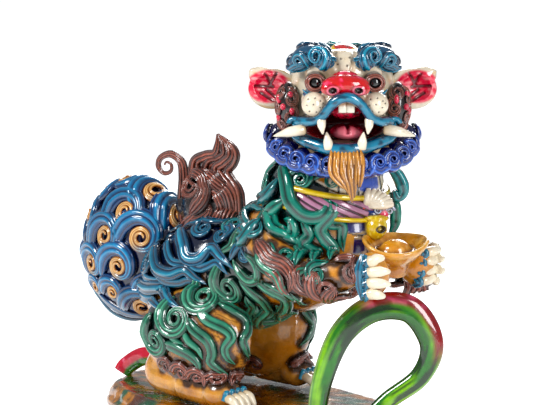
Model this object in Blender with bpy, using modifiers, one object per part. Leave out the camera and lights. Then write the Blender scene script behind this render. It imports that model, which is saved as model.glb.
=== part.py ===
"""Glazed ceramic guardian lion (foo dog) holding an ingot, on a low plinth.

Frame: +X is the way the lion's body points, +Y its left side, +Z up. The origin is the centre of the
plinth's flat underside. Lengths in the tables are millimetres and are scaled by MM where shapes are made.

Each piece was modelled or pressed on its own and luted to its neighbours before firing, so each is its own
solid. A piece that meets one already placed is cut back from it by CLEARANCE, as a luted joint would be.
"""

import math

import bmesh
import bpy
from mathutils import Matrix, Vector
from mathutils.bvhtree import BVHTree

MM = 0.001

# Driving dimensions, in millimetres
PLINTH_LENGTH, PLINTH_WIDTH, PLINTH_HEIGHT = 196.0, 92.0, 12.0
HEAD_CENTRE = (52.6, -1.2, 163.0)
HEAD_SCALE = (0.93, 0.95, 0.9)  # the finished head against the size its pieces are laid out at
HEAD_TURN_DEG = 40.0  # the face looks this far round from -Y towards +X
HIP_Y, PAW_Y = 24.0, 17.0
PAW_X, PAW_Z = 84.0, 88.0
BALL_RADIUS = 13.2
INGOT_STRETCH, INGOT_HALF_LENGTH, INGOT_END_RISE = 1.16, 15.4, 3.6
CLEARANCE = 0.5

# How finely clay is remeshed, and how much of each group's detail is kept
VOXEL = 1.5
SMOOTHING = 6

GLAZES = {
    "ochre_glaze": ((0.52, 0.27, 0.07), 0.18),
    "cream_glaze": ((0.80, 0.72, 0.55), 0.28),
    "turquoise_glaze": ((0.0, 0.25, 0.38), 0.12),
    "blue_glaze": ((0.0, 0.13, 0.30), 0.12),
    "green_glaze": ((0.0, 0.20, 0.13), 0.12),
    "cobalt_glaze": ((0.01, 0.03, 0.32), 0.12),
    "brown_glaze": ((0.22, 0.07, 0.045), 0.2),
    "red_glaze": ((0.50, 0.03, 0.06), 0.15),
    "pink_glaze": ((0.62, 0.20, 0.22), 0.2),
    "black_glaze": ((0.015, 0.012, 0.012), 0.08),
    "yellow_glaze": ((0.62, 0.50, 0.05), 0.15),
    "leaf_green_glaze": ((0.08, 0.28, 0.01), 0.12),
    "bisque_clay": ((0.30, 0.18, 0.09), 0.55),
}

placed = []  # every piece so far, in the order it was luted on


# ---------------------------------------------------------------- scene and materials


def clear_scene():
    for obj in list(bpy.data.objects):
        bpy.data.objects.remove(obj)


def make_collection(name):
    collection = bpy.data.collections.new(name)
    bpy.context.scene.collection.children.link(collection)
    return collection


def make_material(name):
    colour, roughness = GLAZES[name]
    material = bpy.data.materials.new(name)
    material.use_nodes = True
    shader = material.node_tree.nodes["Principled BSDF"]
    shader.inputs["Base Color"].default_value = (*colour, 1.0)
    shader.inputs["Roughness"].default_value = roughness
    shader.inputs["Metallic"].default_value = 0.0
    return material


# ---------------------------------------------------------------- clay shapes, in millimetres


def turned(degrees, axis):
    return Matrix.Rotation(math.radians(degrees), 4, axis)


def temp_object(mesh):
    obj = bpy.data.objects.new("clay", mesh)
    clay.objects.link(obj)
    return obj


def frozen(obj):
    """The object with its modifiers applied and its place kept. A curve becomes a welded mesh."""
    bpy.context.view_layer.update()
    mesh = bpy.data.meshes.new_from_object(obj.evaluated_get(bpy.context.evaluated_depsgraph_get()))
    result = temp_object(mesh)
    result.matrix_world = obj.matrix_world.copy()
    was_curve = obj.type == "CURVE"
    bpy.data.objects.remove(obj)
    shape = bmesh.new()
    shape.from_mesh(mesh)
    bmesh.ops.remove_doubles(shape, verts=shape.verts, dist=0.001 * MM)
    if was_curve:
        bmesh.ops.recalc_face_normals(shape, faces=shape.faces)
    bmesh.ops.triangulate(shape, faces=shape.faces)  # a bent four-sided face has no one shape, so a cut could miss it
    shape.to_mesh(mesh)
    shape.free()
    return result


def lump(centre, radii, turn=None, segments=20, rings=12):
    """An ellipsoid of clay."""
    shape = bmesh.new()
    bmesh.ops.create_uvsphere(shape, u_segments=segments, v_segments=rings, radius=MM)
    stretch = Matrix.Diagonal((*radii, 1.0))
    place = Matrix.Translation(Vector(centre) * MM)
    bmesh.ops.transform(shape, matrix=place @ (turn or Matrix.Identity(4)) @ stretch, verts=shape.verts)
    mesh = bpy.data.meshes.new("lump")
    shape.to_mesh(mesh)
    shape.free()
    return temp_object(mesh)


def through(points, steps=3):
    """A smooth line through the points, by Catmull-Rom."""
    path = [Vector(p) for p in points]
    ends = [2 * path[0] - path[1], *path, 2 * path[-1] - path[-2]]
    line = []
    for a, b, c, d in zip(ends, ends[1:], ends[2:], ends[3:]):
        for i in range(steps):
            t = i / steps
            line.append(
                0.5 * ((2 * b) + (c - a) * t + (2 * a - 5 * b + 4 * c - d) * t**2 + (3 * b - a - 3 * c + d) * t**3)
            )
    return [*line, path[-1]]


def spread(values, count):
    """count values read evenly along a short list."""
    last = len(values) - 1
    found = []
    for i in range(count):
        at = i * last / (count - 1)
        low = min(int(at), last - 1)
        found.append(values[low] + (values[low + 1] - values[low]) * (at - low))
    return found


def roll(points, radii, steps=3, sides=6, section=None, tilt_deg=0.0):
    """A rolled strip of clay along a smooth line, round or, with a section object, flattened and turned on edge."""
    line = through(points, steps)
    curve = bpy.data.curves.new("roll", "CURVE")
    curve.dimensions = "3D"
    curve.use_fill_caps = True
    if section:
        curve.bevel_mode = "OBJECT"
        curve.bevel_object = section
    else:
        curve.bevel_depth = MM
        curve.bevel_resolution = (sides - 4) // 2
    spline = curve.splines.new("POLY")
    spline.points.add(len(line) - 1)
    for point, place, radius in zip(spline.points, line, spread(radii, len(line))):
        point.co = (*(place * MM), 1.0)
        point.radius = radius
        point.tilt = math.radians(tilt_deg)
    return frozen(temp_object(curve))


def oval_section(width, thickness, sides=10):
    """A closed oval to sweep a strap with."""
    curve = bpy.data.curves.new("section", "CURVE")
    curve.dimensions = "2D"
    spline = curve.splines.new("POLY")
    spline.points.add(sides - 1)
    spline.use_cyclic_u = True
    for i, point in enumerate(spline.points):
        angle = math.tau * i / sides
        point.co = (width / 2 * math.cos(angle) * MM, thickness / 2 * math.sin(angle) * MM, 0, 1)
    section = temp_object(curve)
    section.hide_render = True
    return section


def outline(points, thickness):
    """A flat shape in the XZ plane, its middle on y = 0."""
    curve = bpy.data.curves.new("outline", "CURVE")
    curve.dimensions = "2D"
    curve.fill_mode = "BOTH"
    curve.extrude = thickness / 2 * MM
    spline = curve.splines.new("POLY")
    spline.points.add(len(points) - 1)
    spline.use_cyclic_u = True
    for point, (x, z) in zip(spline.points, points):
        point.co = (x * MM, z * MM, 0, 1)
    obj = temp_object(curve)
    obj.matrix_world = turned(90, "X")
    return frozen(obj)


def joined(pieces):
    """Several clay objects as one mesh, in world space."""
    shape = bmesh.new()
    bpy.context.view_layer.update()
    for obj in pieces:
        mesh = obj.data.copy()
        mesh.transform(obj.matrix_world)
        shape.from_mesh(mesh)
        bpy.data.meshes.remove(mesh)
        bpy.data.objects.remove(obj)
    mesh = bpy.data.meshes.new("joined")
    shape.to_mesh(mesh)
    shape.free()
    return temp_object(mesh)


def kneaded(pieces, faces, voxel=VOXEL, smoothing=SMOOTHING):
    """Clay pieces that overlap, worked into one smooth closed body of about this many triangles."""
    obj = joined(pieces)
    remesh = obj.modifiers.new("knead", "REMESH")
    remesh.mode = "VOXEL"
    remesh.voxel_size = voxel * MM
    smooth = obj.modifiers.new("smooth", "SMOOTH")
    smooth.factor = 0.5
    smooth.iterations = smoothing
    obj = frozen(obj)
    obj.data.calc_loop_triangles()
    thin = obj.modifiers.new("thin", "DECIMATE")
    thin.ratio = min(1.0, faces / len(obj.data.loop_triangles))
    thin.use_collapse_triangulate = True
    return frozen(obj)


# ---------------------------------------------------------------- luting pieces together


def box_of(obj):
    corners = [obj.matrix_world @ Vector(c) for c in obj.bound_box]
    low = Vector(min(c[i] for c in corners) for i in range(3))
    high = Vector(max(c[i] for c in corners) for i in range(3))
    return low, high


def near(a, b):
    (low_a, high_a), (low_b, high_b) = box_of(a), box_of(b)
    gap = CLEARANCE * 2 * MM
    return all(low_a[i] - gap < high_b[i] and low_b[i] - gap < high_a[i] for i in range(3))


def swollen(obj, by):
    """A copy of the piece grown by this many millimetres along its normals, to cut its neighbours with."""
    mesh = obj.data.copy()
    mesh.transform(obj.matrix_world)
    shape = bmesh.new()
    shape.from_mesh(mesh)
    shape.normal_update()
    for vert, normal in [(v, v.normal.copy()) for v in shape.verts]:
        vert.co += normal * by * MM * min(vert.calc_shell_factor(), 1.4)
    shape.to_mesh(mesh)
    shape.free()
    cutter = bpy.data.objects.new("cutter", mesh)
    cutters.objects.link(cutter)
    cutter.hide_render = True
    cutter.display_type = "WIRE"
    return cutter


def volume(obj):
    shape = bmesh.new()
    shape.from_mesh(obj.data)
    found = shape.calc_volume(signed=True)
    shape.free()
    return found


def cut(obj, cutter, least=0.02):
    """The piece with the cutter taken out of it.

    Either solver can fail on faces that nearly coincide. A result that has gained volume, or keeps less of
    it than the least share, is a failed one, and is thrown away.
    """
    before = volume(obj)
    for solver in ("EXACT", "MANIFOLD"):
        copy = temp_object(obj.data.copy())
        copy.matrix_world = obj.matrix_world
        boolean = copy.modifiers.new("cut", "BOOLEAN")
        boolean.operation = "DIFFERENCE"
        boolean.solver = solver
        boolean.object = cutter
        result = frozen(copy)
        if least * before < volume(result) < 1.001 * before:
            break
        bpy.data.objects.remove(result)
        result = None
    bpy.data.objects.remove(cutter)
    if result is None:
        return obj
    bpy.data.objects.remove(obj)
    return result


def box(low, high):
    """A block from one corner to the other, in millimetres."""
    shape = bmesh.new()
    bmesh.ops.create_cube(shape, size=MM)
    place = Matrix.Translation((Vector(low) + Vector(high)) / 2 * MM)
    sides = Matrix.Diagonal((*(Vector(high) - Vector(low)), 1.0))
    bmesh.ops.transform(shape, matrix=place @ sides, verts=shape.verts)
    mesh = bpy.data.meshes.new("box")
    shape.to_mesh(mesh)
    shape.free()
    return temp_object(mesh)


def keep_largest(obj):
    """Removes the offcuts that a cut has left."""
    shape = bmesh.new()
    shape.from_mesh(obj.data)
    left, islands = set(shape.verts), []
    while left:
        todo, island = [left.pop()], []
        while todo:
            vert = todo.pop()
            island.append(vert)
            for edge in vert.link_edges:
                other = edge.other_vert(vert)
                if other in left:
                    left.discard(other)
                    todo.append(other)
        islands.append(island)
    islands.sort(key=len)
    for island in islands[:-1]:
        bmesh.ops.delete(shape, geom=island, context="VERTS")
    shape.to_mesh(obj.data)
    shape.free()


def lute(obj, name, glaze, frame=None, smooth=True):
    """Names the piece, cuts it back from the pieces it meets, and glazes it."""
    if frame:
        obj.matrix_world = frame.matrix_world.copy()
        bpy.context.view_layer.update()
    for other in [p for p in placed if near(p, obj)]:
        obj = cut(obj, swollen(other, CLEARANCE))
        # A second, closer cut takes almost nothing: it clears what the first leaves at thin edges.
        obj = cut(obj, swollen(other, CLEARANCE / 3), least=0.9)
    keep_largest(obj)
    obj.name = name
    obj.data.name = name
    obj.data.materials.clear()
    obj.data.materials.append(materials[glaze])
    if smooth:
        obj.data.shade_smooth()
        obj.data.set_sharp_from_angle(angle=math.radians(50))
    clay.objects.unlink(obj)
    statue.objects.link(obj)
    if frame:
        place = obj.matrix_world.copy()
        obj.parent = frame
        obj.matrix_parent_inverse = frame.matrix_world.inverted()
        obj.matrix_world = place
    placed.append(obj)
    return obj


def mirrored(obj):
    """The same piece for the lion's other side."""
    mesh = obj.data.copy()
    mesh.transform(obj.matrix_world)
    mesh.transform(Matrix.Diagonal((1, -1, 1, 1)))
    mesh.flip_normals()
    return temp_object(mesh)


def pair(make, name, glaze):
    """A piece on the lion's right side, and its mirror image on the left."""
    right = make()
    left = mirrored(right)
    lute(right, f"{name}_right", glaze)
    lute(left, f"{name}_left", glaze)


def draped(points, over, out, sink=0.6):
    """Points of a side view laid on the lion's right flank, out millimetres above the surface."""
    tree = BVHTree.FromObject(over, bpy.context.evaluated_depsgraph_get())
    found = []
    for x, z in points:
        hit, normal, _, _ = tree.ray_cast(Vector((x, -120, z)) * MM, Vector((0, 1, 0)))
        if hit is None:
            hit, normal, _, _ = tree.find_nearest(Vector((x, -30, z)) * MM)
        found.append((hit + normal * (out - sink) * MM) / MM)
    return found


# ---------------------------------------------------------------- plinth, ball and ribbons


def plinth():
    """A low slab of rock: a lobed oval with a narrower top."""
    shape = bmesh.new()
    bmesh.ops.create_cone(shape, cap_ends=True, segments=40, radius1=MM, radius2=0.93 * MM, depth=PLINTH_HEIGHT * MM)
    for vert in shape.verts:
        angle = math.atan2(vert.co.y, vert.co.x)
        lobes = 1 + 0.018 * math.sin(5 * angle + 1) + 0.012 * math.sin(9 * angle)
        vert.co.x *= PLINTH_LENGTH / 2 * lobes
        vert.co.y *= PLINTH_WIDTH / 2 * lobes
        vert.co.z += PLINTH_HEIGHT / 2 * MM
    mesh = bpy.data.meshes.new("plinth")
    shape.to_mesh(mesh)
    shape.free()
    lute(temp_object(mesh), "plinth", "bisque_clay", smooth=False)


def brocade_ball():
    shape = bmesh.new()
    bmesh.ops.create_icosphere(shape, subdivisions=2, radius=BALL_RADIUS * MM)
    mesh = bpy.data.meshes.new("brocade_ball")
    shape.to_mesh(mesh)
    shape.free()
    obj = temp_object(mesh)
    obj.location = Vector((-56, -1, PLINTH_HEIGHT + BALL_RADIUS + 0.5)) * MM
    lute(frozen(obj), "brocade_ball", "pink_glaze")


def ribbon(name, points, glaze, width, thickness, tilt_deg):
    """A strap of clay in a free loop, its broad side turned partly to the front."""
    section = oval_section(width, thickness)
    strap = roll(points, [1.0, 1.0], section=section, tilt_deg=tilt_deg)
    bpy.data.objects.remove(section)
    lute(strap, name, glaze)


def ribbons():
    top = PLINTH_HEIGHT
    front = [
        (52, -20, top + 1), (55, -18.5, 34), (62, -13, 56), (74, -4, 68.5), (88, 7, 68),
        (96, 13, 52), (92, 10, 36), (80, 1, 24), (72, -6, top + 1),
    ]  # fmt: skip
    rear = [(-90, -8, top + 1), (-88, -6, 17), (-78, -4, 23), (-66, -4, 22), (-60, -8, top + 4)]
    ribbon("ribbon_front", front, "leaf_green_glaze", width=13.0, thickness=6.4, tilt_deg=60)
    ribbon("ribbon_rear", rear, "red_glaze", width=10.0, thickness=5.0, tilt_deg=0)


# ---------------------------------------------------------------- body and limbs

TORSO = [
    ((-44, 0, 64), (30, 25, 27)),
    ((-10, 0, 76), (34, 25, 27)),
    ((22, 0, 89), (32, 27, 29)),
    ((42, 0, 103), (26, 24, 34)),
    ((50, 0, 128), (20, 21, 16)),
]


def torso():
    """The body, from rump to shoulders and neck."""
    return lute(kneaded([lump(centre, radii) for centre, radii in TORSO], 420), "torso", "ochre_glaze")


def hind_leg():
    """Thigh, shank and foot, folded in a crouch."""
    thigh = lump((-20, -HIP_Y, 44), (32, 17, 27), turned(-12, "Y"))
    hock = roll([(-38, -25, 34), (-42, -27, 24), (-24, -29, 22)], [10, 9, 8.6])
    foot = roll([(-26, -29, 22), (-12, -30, 21), (0, -30, 20.8)], [8.6, 8.2, 8.0])
    paw = lump((0, -30, 21), (10, 9.5, 8))
    return kneaded([thigh, hock, foot, paw], 220)


def foreleg():
    """Shoulder, bent elbow and the paw that holds the ingot's end."""
    arm = roll(
        [(20, -20, 104), (34, -29, 92), (46, -31, 85), (62, -26, 86), (76, -20, 89)], [14, 12, 10.5, 8.8, 8.6]
    )
    paw = lump((PAW_X - 1, -PAW_Y - 1, PAW_Z), (9.5, 7, 10.5))
    return kneaded([arm, paw], 180)


def front_claws():
    """Four claws in a stack, on the paw's front face, rooted in one band of sheaths."""
    pieces = [roll([(83.5, -25.2, 79), (85.5, -25.8, 87), (84.5, -24.5, 96)], [2.6, 3.0, 2.6], steps=3)]
    for i in range(4):
        z = 79.5 + 5.2 * i
        pieces.append(roll([(85, -25, z), (91, -24, z + 0.6), (96, -20.5, z + 0.8)], [2.9, 2.7, 1.4], steps=2))
    return kneaded(pieces, 130, voxel=0.8, smoothing=2)


def hind_claws():
    pieces = [roll([(8.5, -36.5, 20), (11, -30, 21), (8.5, -23.5, 20)], [2.6, 2.9, 2.6])]
    for i in range(4):
        y = -36 + 4.1 * i
        pieces.append(roll([(9, y, 20), (13, y, 19), (17, y, 15.4)], [2.5, 2.4, 1.2], steps=2))
    return kneaded(pieces, 120, voxel=0.8, smoothing=2)


def foreleg_curls():
    """The fringe of curls along the underside of the forearm."""
    strand = roll([(31, -40, 100), (36, -42, 92), (42, -43, 82), (50, -41, 76)], [2.2, 3.2, 3.6, 3.6])
    curls = [
        lump((x, y, z), (7.4, 3.6, 7.4), turned(20, "Z"))
        for x, y, z in ((46, -40, 79), (56, -37, 77), (66, -33, 78), (73, -30, 85))
    ]
    return kneaded([strand, *curls], 140, voxel=1.0, smoothing=3)


def hock_curls():
    """The fringe of curls along the top of the hind foot."""
    curls = [
        lump((x, y, z), (6, 4, 5), turned(15, "Z"))
        for x, y, z in ((-46, -35, 30), (-36, -39, 27), (-25, -41, 26), (-13, -41, 27), (-3, -40, 26))
    ]
    strand = roll([(-50, -32, 36), (-40, -38, 28), (-24, -40, 25), (-4, -39, 25)], [2.4, 3, 3, 2.4])
    return kneaded([strand, *curls], 140, voxel=1.0, smoothing=3)


# ---------------------------------------------------------------- hair on the body


def lock_group(body, pad, routes, radius, faces, voxel=1.1):
    """A patch of hair: a thin pad on the body with rolled locks laid over it."""
    pieces = [lump(*pad)]
    for route in routes:
        line = draped(route, body, radius)
        pieces.append(roll(line, [radius * 0.8, radius, radius * 0.9, radius * 0.5], steps=2))
    group = kneaded(pieces, faces, voxel=voxel, smoothing=2)
    return cut(group, box((-200, -CLEARANCE / 2, 0), (200, 200, 300)))  # the left half has its own


FLANK_ROUTES = [
    [(-34, 70), (-26, 62), (-16, 62), (-13, 70)],
    [(-12, 84), (-8, 72), (3, 70), (7, 78)],
    [(6, 92), (10, 80), (18, 78), (22, 88)],
    [(24, 108), (24, 96), (34, 94), (38, 104)],
    [(8, 72), (16, 66), (20, 58), (26, 56)],
    [(26, 80), (36, 76), (40, 68), (46, 68)],
]
RUMP_ROUTES = [
    [(-64, 76), (-62, 64), (-52, 62), (-42, 56)],
    [(-52, 88), (-50, 76), (-38, 74), (-28, 66)],
    [(-36, 98), (-36, 86), (-24, 84), (-14, 76)],
    [(-20, 98), (-14, 90), (-4, 92), (4, 86)],
    [(0, 108), (4, 98), (14, 98), (16, 108)],
]
THIGH_ROUTES = [
    [(-46, 62), (-48, 48), (-38, 42), (-32, 50)],
    [(-32, 62), (-26, 52), (-18, 44), (-16, 32)],
    [(-18, 64), (-10, 56), (-4, 46), (-4, 34)],
    [(-44, 40), (-36, 36), (-28, 30), (-24, 24)],
]
MANE_ROUTES = [
    [(30, 140), (36, 126), (46, 118), (54, 124)],
    [(20, 128), (26, 114), (38, 110), (42, 118)],
    [(40, 120), (44, 108), (50, 100), (54, 92)],
    [(56, 118), (60, 106), (62, 98), (64, 90)],
]


def body_hair(body):
    flank = ((6, -12, 82), (38, 16.5, 19), turned(-22, "Y"))
    rump = ((-34, -8, 76), (36, 19.5, 23), turned(-24, "Y"))
    mane = ((40, -8, 118), (25, 20, 27))
    pair(lambda: lock_group(body, rump, RUMP_ROUTES, 3.4, 230), "rump_locks", "blue_glaze")
    pair(lambda: lock_group(body, flank, FLANK_ROUTES, 3.4, 230), "flank_locks", "green_glaze")
    pair(lambda: lock_group(body, mane, MANE_ROUTES, 3.8, 240), "mane", "green_glaze")


def thigh_hair():
    """Locks draped over each thigh, rooted on a pad at its top."""
    thigh = bpy.data.objects["hind_leg_right"]
    pad = ((-26, -27, 51), (25, 15.5, 17))
    pair(lambda: lock_group(thigh, pad, THIGH_ROUTES, 2.9, 190), "thigh_locks", "green_glaze")


def nape_locks():
    """Locks down the back of the neck and along the spine."""
    ridge = roll([(27, 0, 157), (14, 0, 140), (4, 0, 120), (-6, 0, 106)], [9, 12, 11, 7])
    curls = [
        lump((23, side * 12, 145), (8, 7, 12)) for side in (-1, 1)
    ] + [lump((8, side * 14, 124), (10, 7, 9)) for side in (-1, 1)]
    lute(kneaded([ridge, *curls], 180), "nape_locks", "turquoise_glaze")


# ---------------------------------------------------------------- tail

FLAME_OUTLINE = [
    (-52, 92), (-62, 106), (-58, 118), (-62, 126), (-70, 124), (-72, 130), (-64, 137), (-54, 131), (-50, 118),
    (-47, 122), (-42, 132), (-33, 138), (-29, 147), (-22, 142), (-18, 134), (-20, 126), (-14, 118), (-12, 108),
    (-16, 97), (-26, 91), (-40, 88),
]  # fmt: skip


def tail():
    """A thick fan of hooked locks, and the flame-shaped tuft that rises from its root."""
    fan = lump((-87, 0, 79), (33, 17, 38), turned(16, "Y"))
    root = lump((-66, 0, 70), (12, 12, 14))
    lute(kneaded([fan, root], 240), "tail_fan", "blue_glaze")
    flame = [outline(FLAME_OUTLINE, 11), lump((-34, 0, 106), (19, 9.5, 18)), lump((-40, 0, 92), (12, 8, 9))]
    lute(kneaded(flame, 240), "tail_flame", "brown_glaze")


# ---------------------------------------------------------------- ingot


def ingot():
    """A boat-shaped ingot: a turned bowl with a dome in it, drawn out across the face and raised at its ends."""
    profile = [
        (0.0, 6.4), (2.8, 6.0), (5.0, 4.4), (6.4, 2.2), (8.0, 1.6), (10.2, 3.6), (12.4, 5.4), (13.3, 5.0),
        (13.0, 3.0), (10.0, -1.2), (6.6, -5.0), (5.0, -9.0), (4.8, -11.0), (0.0, -11.0),
    ]  # fmt: skip
    mesh = bpy.data.meshes.new("ingot")
    mesh.from_pydata([(x * MM, 0, z * MM) for x, z in profile], [(i, i + 1) for i in range(len(profile) - 1)], [])
    obj = temp_object(mesh)
    screw = obj.modifiers.new("turn", "SCREW")
    screw.steps = screw.render_steps = 16
    screw.use_merge_vertices = True
    screw.merge_threshold = 0.00001
    obj = frozen(obj)
    for vert in obj.data.vertices:
        vert.co.x *= INGOT_STRETCH
        reach = abs(vert.co.x) / (INGOT_HALF_LENGTH * MM)
        vert.co.z += INGOT_END_RISE * MM * reach**2.5
    place = Matrix.Translation(Vector((PAW_X, -0.5, PAW_Z + 8)) * MM)
    obj.matrix_world = place @ turned(HEAD_TURN_DEG, "Z") @ turned(12, "X")
    return lute(obj, "ingot", "ochre_glaze")


# ---------------------------------------------------------------- head
# Head pieces are laid out looking at the face: X to the viewer's right, -Y towards the viewer, Z up.


def head_frame():
    frame = bpy.data.objects.new("head_frame", None)
    statue.objects.link(frame)
    frame.location = Vector(HEAD_CENTRE) * MM
    frame.rotation_euler.z = math.radians(HEAD_TURN_DEG)
    frame.scale = HEAD_SCALE
    bpy.context.view_layer.update()
    return frame


def head_pieces(frame):
    def on_head(obj, name, glaze):
        return lute(obj, name, glaze, frame)

    skull = [
        lump((0, 5, 8), (29, 25, 25)), lump((0, 2, -6), (31, 22, 17)), lump((0, -20, 6), (22, 15, 12)),
        lump((0, -14, 20), (20, 14, 12)), lump((0, 4, -18), (26, 20, 8)),
    ]  # fmt: skip
    shell = kneaded(skull, 340)
    mouth = kneaded([lump((0, -26, -8), (23, 27, 9)), lump((0, -30, -3), (12, 24, 9))], 110)
    on_head(cut(shell, mouth), "head", "cream_glaze")

    jaw = [lump((0, -12, -20), (26, 19, 6)), lump((0, -24, -19), (15, 10, 5))]
    on_head(kneaded(jaw, 130), "lower_jaw", "cream_glaze")
    on_head(lump((1.5, -17, -11), (9, 15, 4.6), turned(-8, "X"), 12, 7), "tongue", "red_glaze")

    upper = [
        (-27, -19, -6), (-21, -27, -4.5), (-13, -34, -2), (-8, -37, 5), (0.5, -38.5, 9), (9, -37, 5),
        (13, -34, -2), (21, -27, -4.5), (27, -19, -6),
    ]  # fmt: skip
    on_head(roll(upper, [3.4, 3.0, 3.2, 3.2, 3.2, 3.0, 3.4], steps=2), "upper_lip", "turquoise_glaze")
    lower = [(-27, -18, -12), (-19, -27, -16), (-7, -33, -18.5), (6, -33, -18.5), (17, -28, -16.5), (26, -18, -12)]
    on_head(roll(lower, [3.0, 3.2, 3.2, 3.2, 3.0], steps=2), "lower_lip", "turquoise_glaze")

    nose = [lump((0, -35, 15), (12, 6, 5.4)), lump((0, -31, 18), (7, 6, 4)), lump((-7, -37, 13), (4.6, 3.6, 3.6)),
            lump((7, -37, 13), (4.6, 3.6, 3.6))]  # fmt: skip
    on_head(kneaded(nose, 120, voxel=1.0, smoothing=3), "nose", "red_glaze")

    for side, word in ((-1, "right"), (1, "left")):  # the lion's own right is the viewer's left
        on_head(lump((side * 15, -26, 15.5), (4.6, 4.4, 4.6), None, 10, 6), f"eye_{word}", "black_glaze")
        brow = [(side * 6, -27, 25), (side * 12, -23, 29), (side * 20, -17, 29), (side * 27, -11, 22)]
        on_head(roll(brow, [3.4, 5.6, 5.8, 3.4]), f"brow_{word}", "turquoise_glaze")
        on_head(lump((side * 15.5, -31, 4.5), (6.2, 6, 6.4), None, 10, 6), f"whisker_pad_{word}", "cream_glaze")
        cheek = [lump((side * 28, -9, 2), (6, 9, 13)), lump((side * 29, -2, -8), (5.5, 9, 8))]
        on_head(kneaded(cheek, 90), f"cheek_{word}", "brown_glaze")
        on_head(ear(side), f"ear_{word}", "pink_glaze")
        fang = [(side * 12, -35, -3), (side * 11.8, -36, -7), (side * 11.2, -36.5, -10)]
        on_head(roll(fang, [2.5, 1.7, 0.5], steps=1, sides=8), f"upper_fang_{word}", "cream_glaze")
        fang = [(side * 8, -34, -18), (side * 8.8, -34.5, -13), (side * 9.2, -34.5, -9.6)]
        on_head(roll(fang, [2.7, 2.0, 0.5], steps=1, sides=8), f"lower_fang_{word}", "cream_glaze")
        tusk = [(side * 20, -27, -9), (side * 27, -28, -10), (side * 35.5, -26, -12)]
        on_head(roll(tusk, [3.0, 2.6, 0.5], steps=2, sides=8), f"tusk_{word}", "cream_glaze")

    teeth = lump((1, -35, 2.6), (4.4, 2, 3), None, 10, 6)
    on_head(teeth, "incisors", "cream_glaze")
    on_head(lump((0, -3, 33), (7, 8, 2.4), None, 12, 6), "crown_boss", "red_glaze")
    on_head(beard(), "beard", "cobalt_glaze")
    on_head(goatee(), "goatee", "ochre_glaze")


def ear(side):
    """A cupped, pointed ear held out sideways."""
    leaf = [lump((side * 36, 0, 10), (13, 5, 11)), lump((side * 42, -1, 17), (6, 3.4, 5), turned(side * -30, "Y"))]
    root = lump((side * 28, 1, 8), (7, 5, 9))
    hollow = lump((side * 38, -6, 10), (9, 5, 7), None, 12, 6)
    return cut(kneaded([*leaf, root], 110), hollow)


def beard():
    """A band of curls that runs under the jaw from ear to ear."""
    count = 12
    curls = []
    for i in range(count):
        t = -1 + 2 * i / (count - 1)
        angle = t * math.radians(88)
        place = (32.5 * math.sin(angle), 1 - 32 * math.cos(angle), -27 + 13 * t * t)
        curls.append(lump(place, (6.0, 5.0, 6.4), turned(math.degrees(angle), "Z"), 12, 8))
    return kneaded(curls, 260, voxel=1.2, smoothing=2)


def goatee():
    strands = []
    for i in range(4):
        x = -5.5 + 4 * i
        strands.append(
            roll([(x, -35.5, -21), (x * 1.1, -40, -28), (x * 0.7 + 1, -40, -36), (3.5, -38.5, -45)], [2.6, 3.0, 2.6, 1.2])
        )
    return kneaded(strands, 120, voxel=0.9, smoothing=2)


# ---------------------------------------------------------------- chest


def chest_pieces():
    """The banded breast plate, and the collar with its rosette and bell."""
    plate = lump((44, 0, 104), (29.5, 18, 31), None, 20, 14)
    lute(plate, "chest_plate", "cream_glaze")

    steps = 12
    ring = []
    for i in range(steps + 1):
        angle = math.radians(-100 + 200 * i / steps)
        ring.append((44 + 26.5 * math.cos(angle), 26.5 * math.sin(angle), 121 - 5 * math.cos(angle)))
    section = oval_section(9.0, 4.0, 8)
    sash = roll(ring, [1, 1], steps=1, section=section)
    bpy.data.objects.remove(section)
    lute(sash, "collar_sash", "yellow_glaze")

    rosette = [lump((72.5, -3, 117), (3.5, 9, 5)), lump((72.5, -6, 112), (3.2, 5, 4))]
    lute(kneaded(rosette, 90, voxel=1.0, smoothing=2), "collar_rosette", "cream_glaze")
    bell = lump((75, -2, 105.5), (5.4, 5.4, 5.6), None, 12, 8)
    slot = lump((80, -3, 104), (3.4, 4.0, 1.1), None, 8, 4)
    lute(cut(bell, slot), "collar_bell", "yellow_glaze")


def build():
    plinth()
    body = torso()
    pair(hind_leg, "hind_leg", "ochre_glaze")
    pair(foreleg, "foreleg", "ochre_glaze")
    brocade_ball()
    tail()
    ingot()
    ribbons()
    head_pieces(head_frame())
    pair(front_claws, "front_claws", "cream_glaze")
    pair(hind_claws, "hind_claws", "cream_glaze")
    pair(foreleg_curls, "foreleg_curls", "brown_glaze")
    pair(hock_curls, "hock_curls", "brown_glaze")
    nape_locks()
    body_hair(body)
    thigh_hair()
    chest_pieces()


clear_scene()
statue = make_collection("foo_dog_statue")
clay = make_collection("clay")
cutters = make_collection("cutters")
materials = {name: make_material(name) for name in GLAZES}
build()
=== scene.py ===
"""Looks of the glazed ceramic guardian lion: modelled hair, face, ornaments and coloured glazes.

Everything is laid out in millimetres in the CAD model's frame (+X the way the body points, +Y its left,
+Z up) and scaled by MM when a mesh is made. "Show side" means the side turned to the viewer, SHOW_DEG round from -Y
towards +X: places on it are given as (across, up), across being measured along SHOW_ACROSS.
"""

import math

import bpy
import numpy as np
from mathutils import Matrix, Vector
from mathutils.bvhtree import BVHTree
from mathutils.kdtree import KDTree


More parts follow.
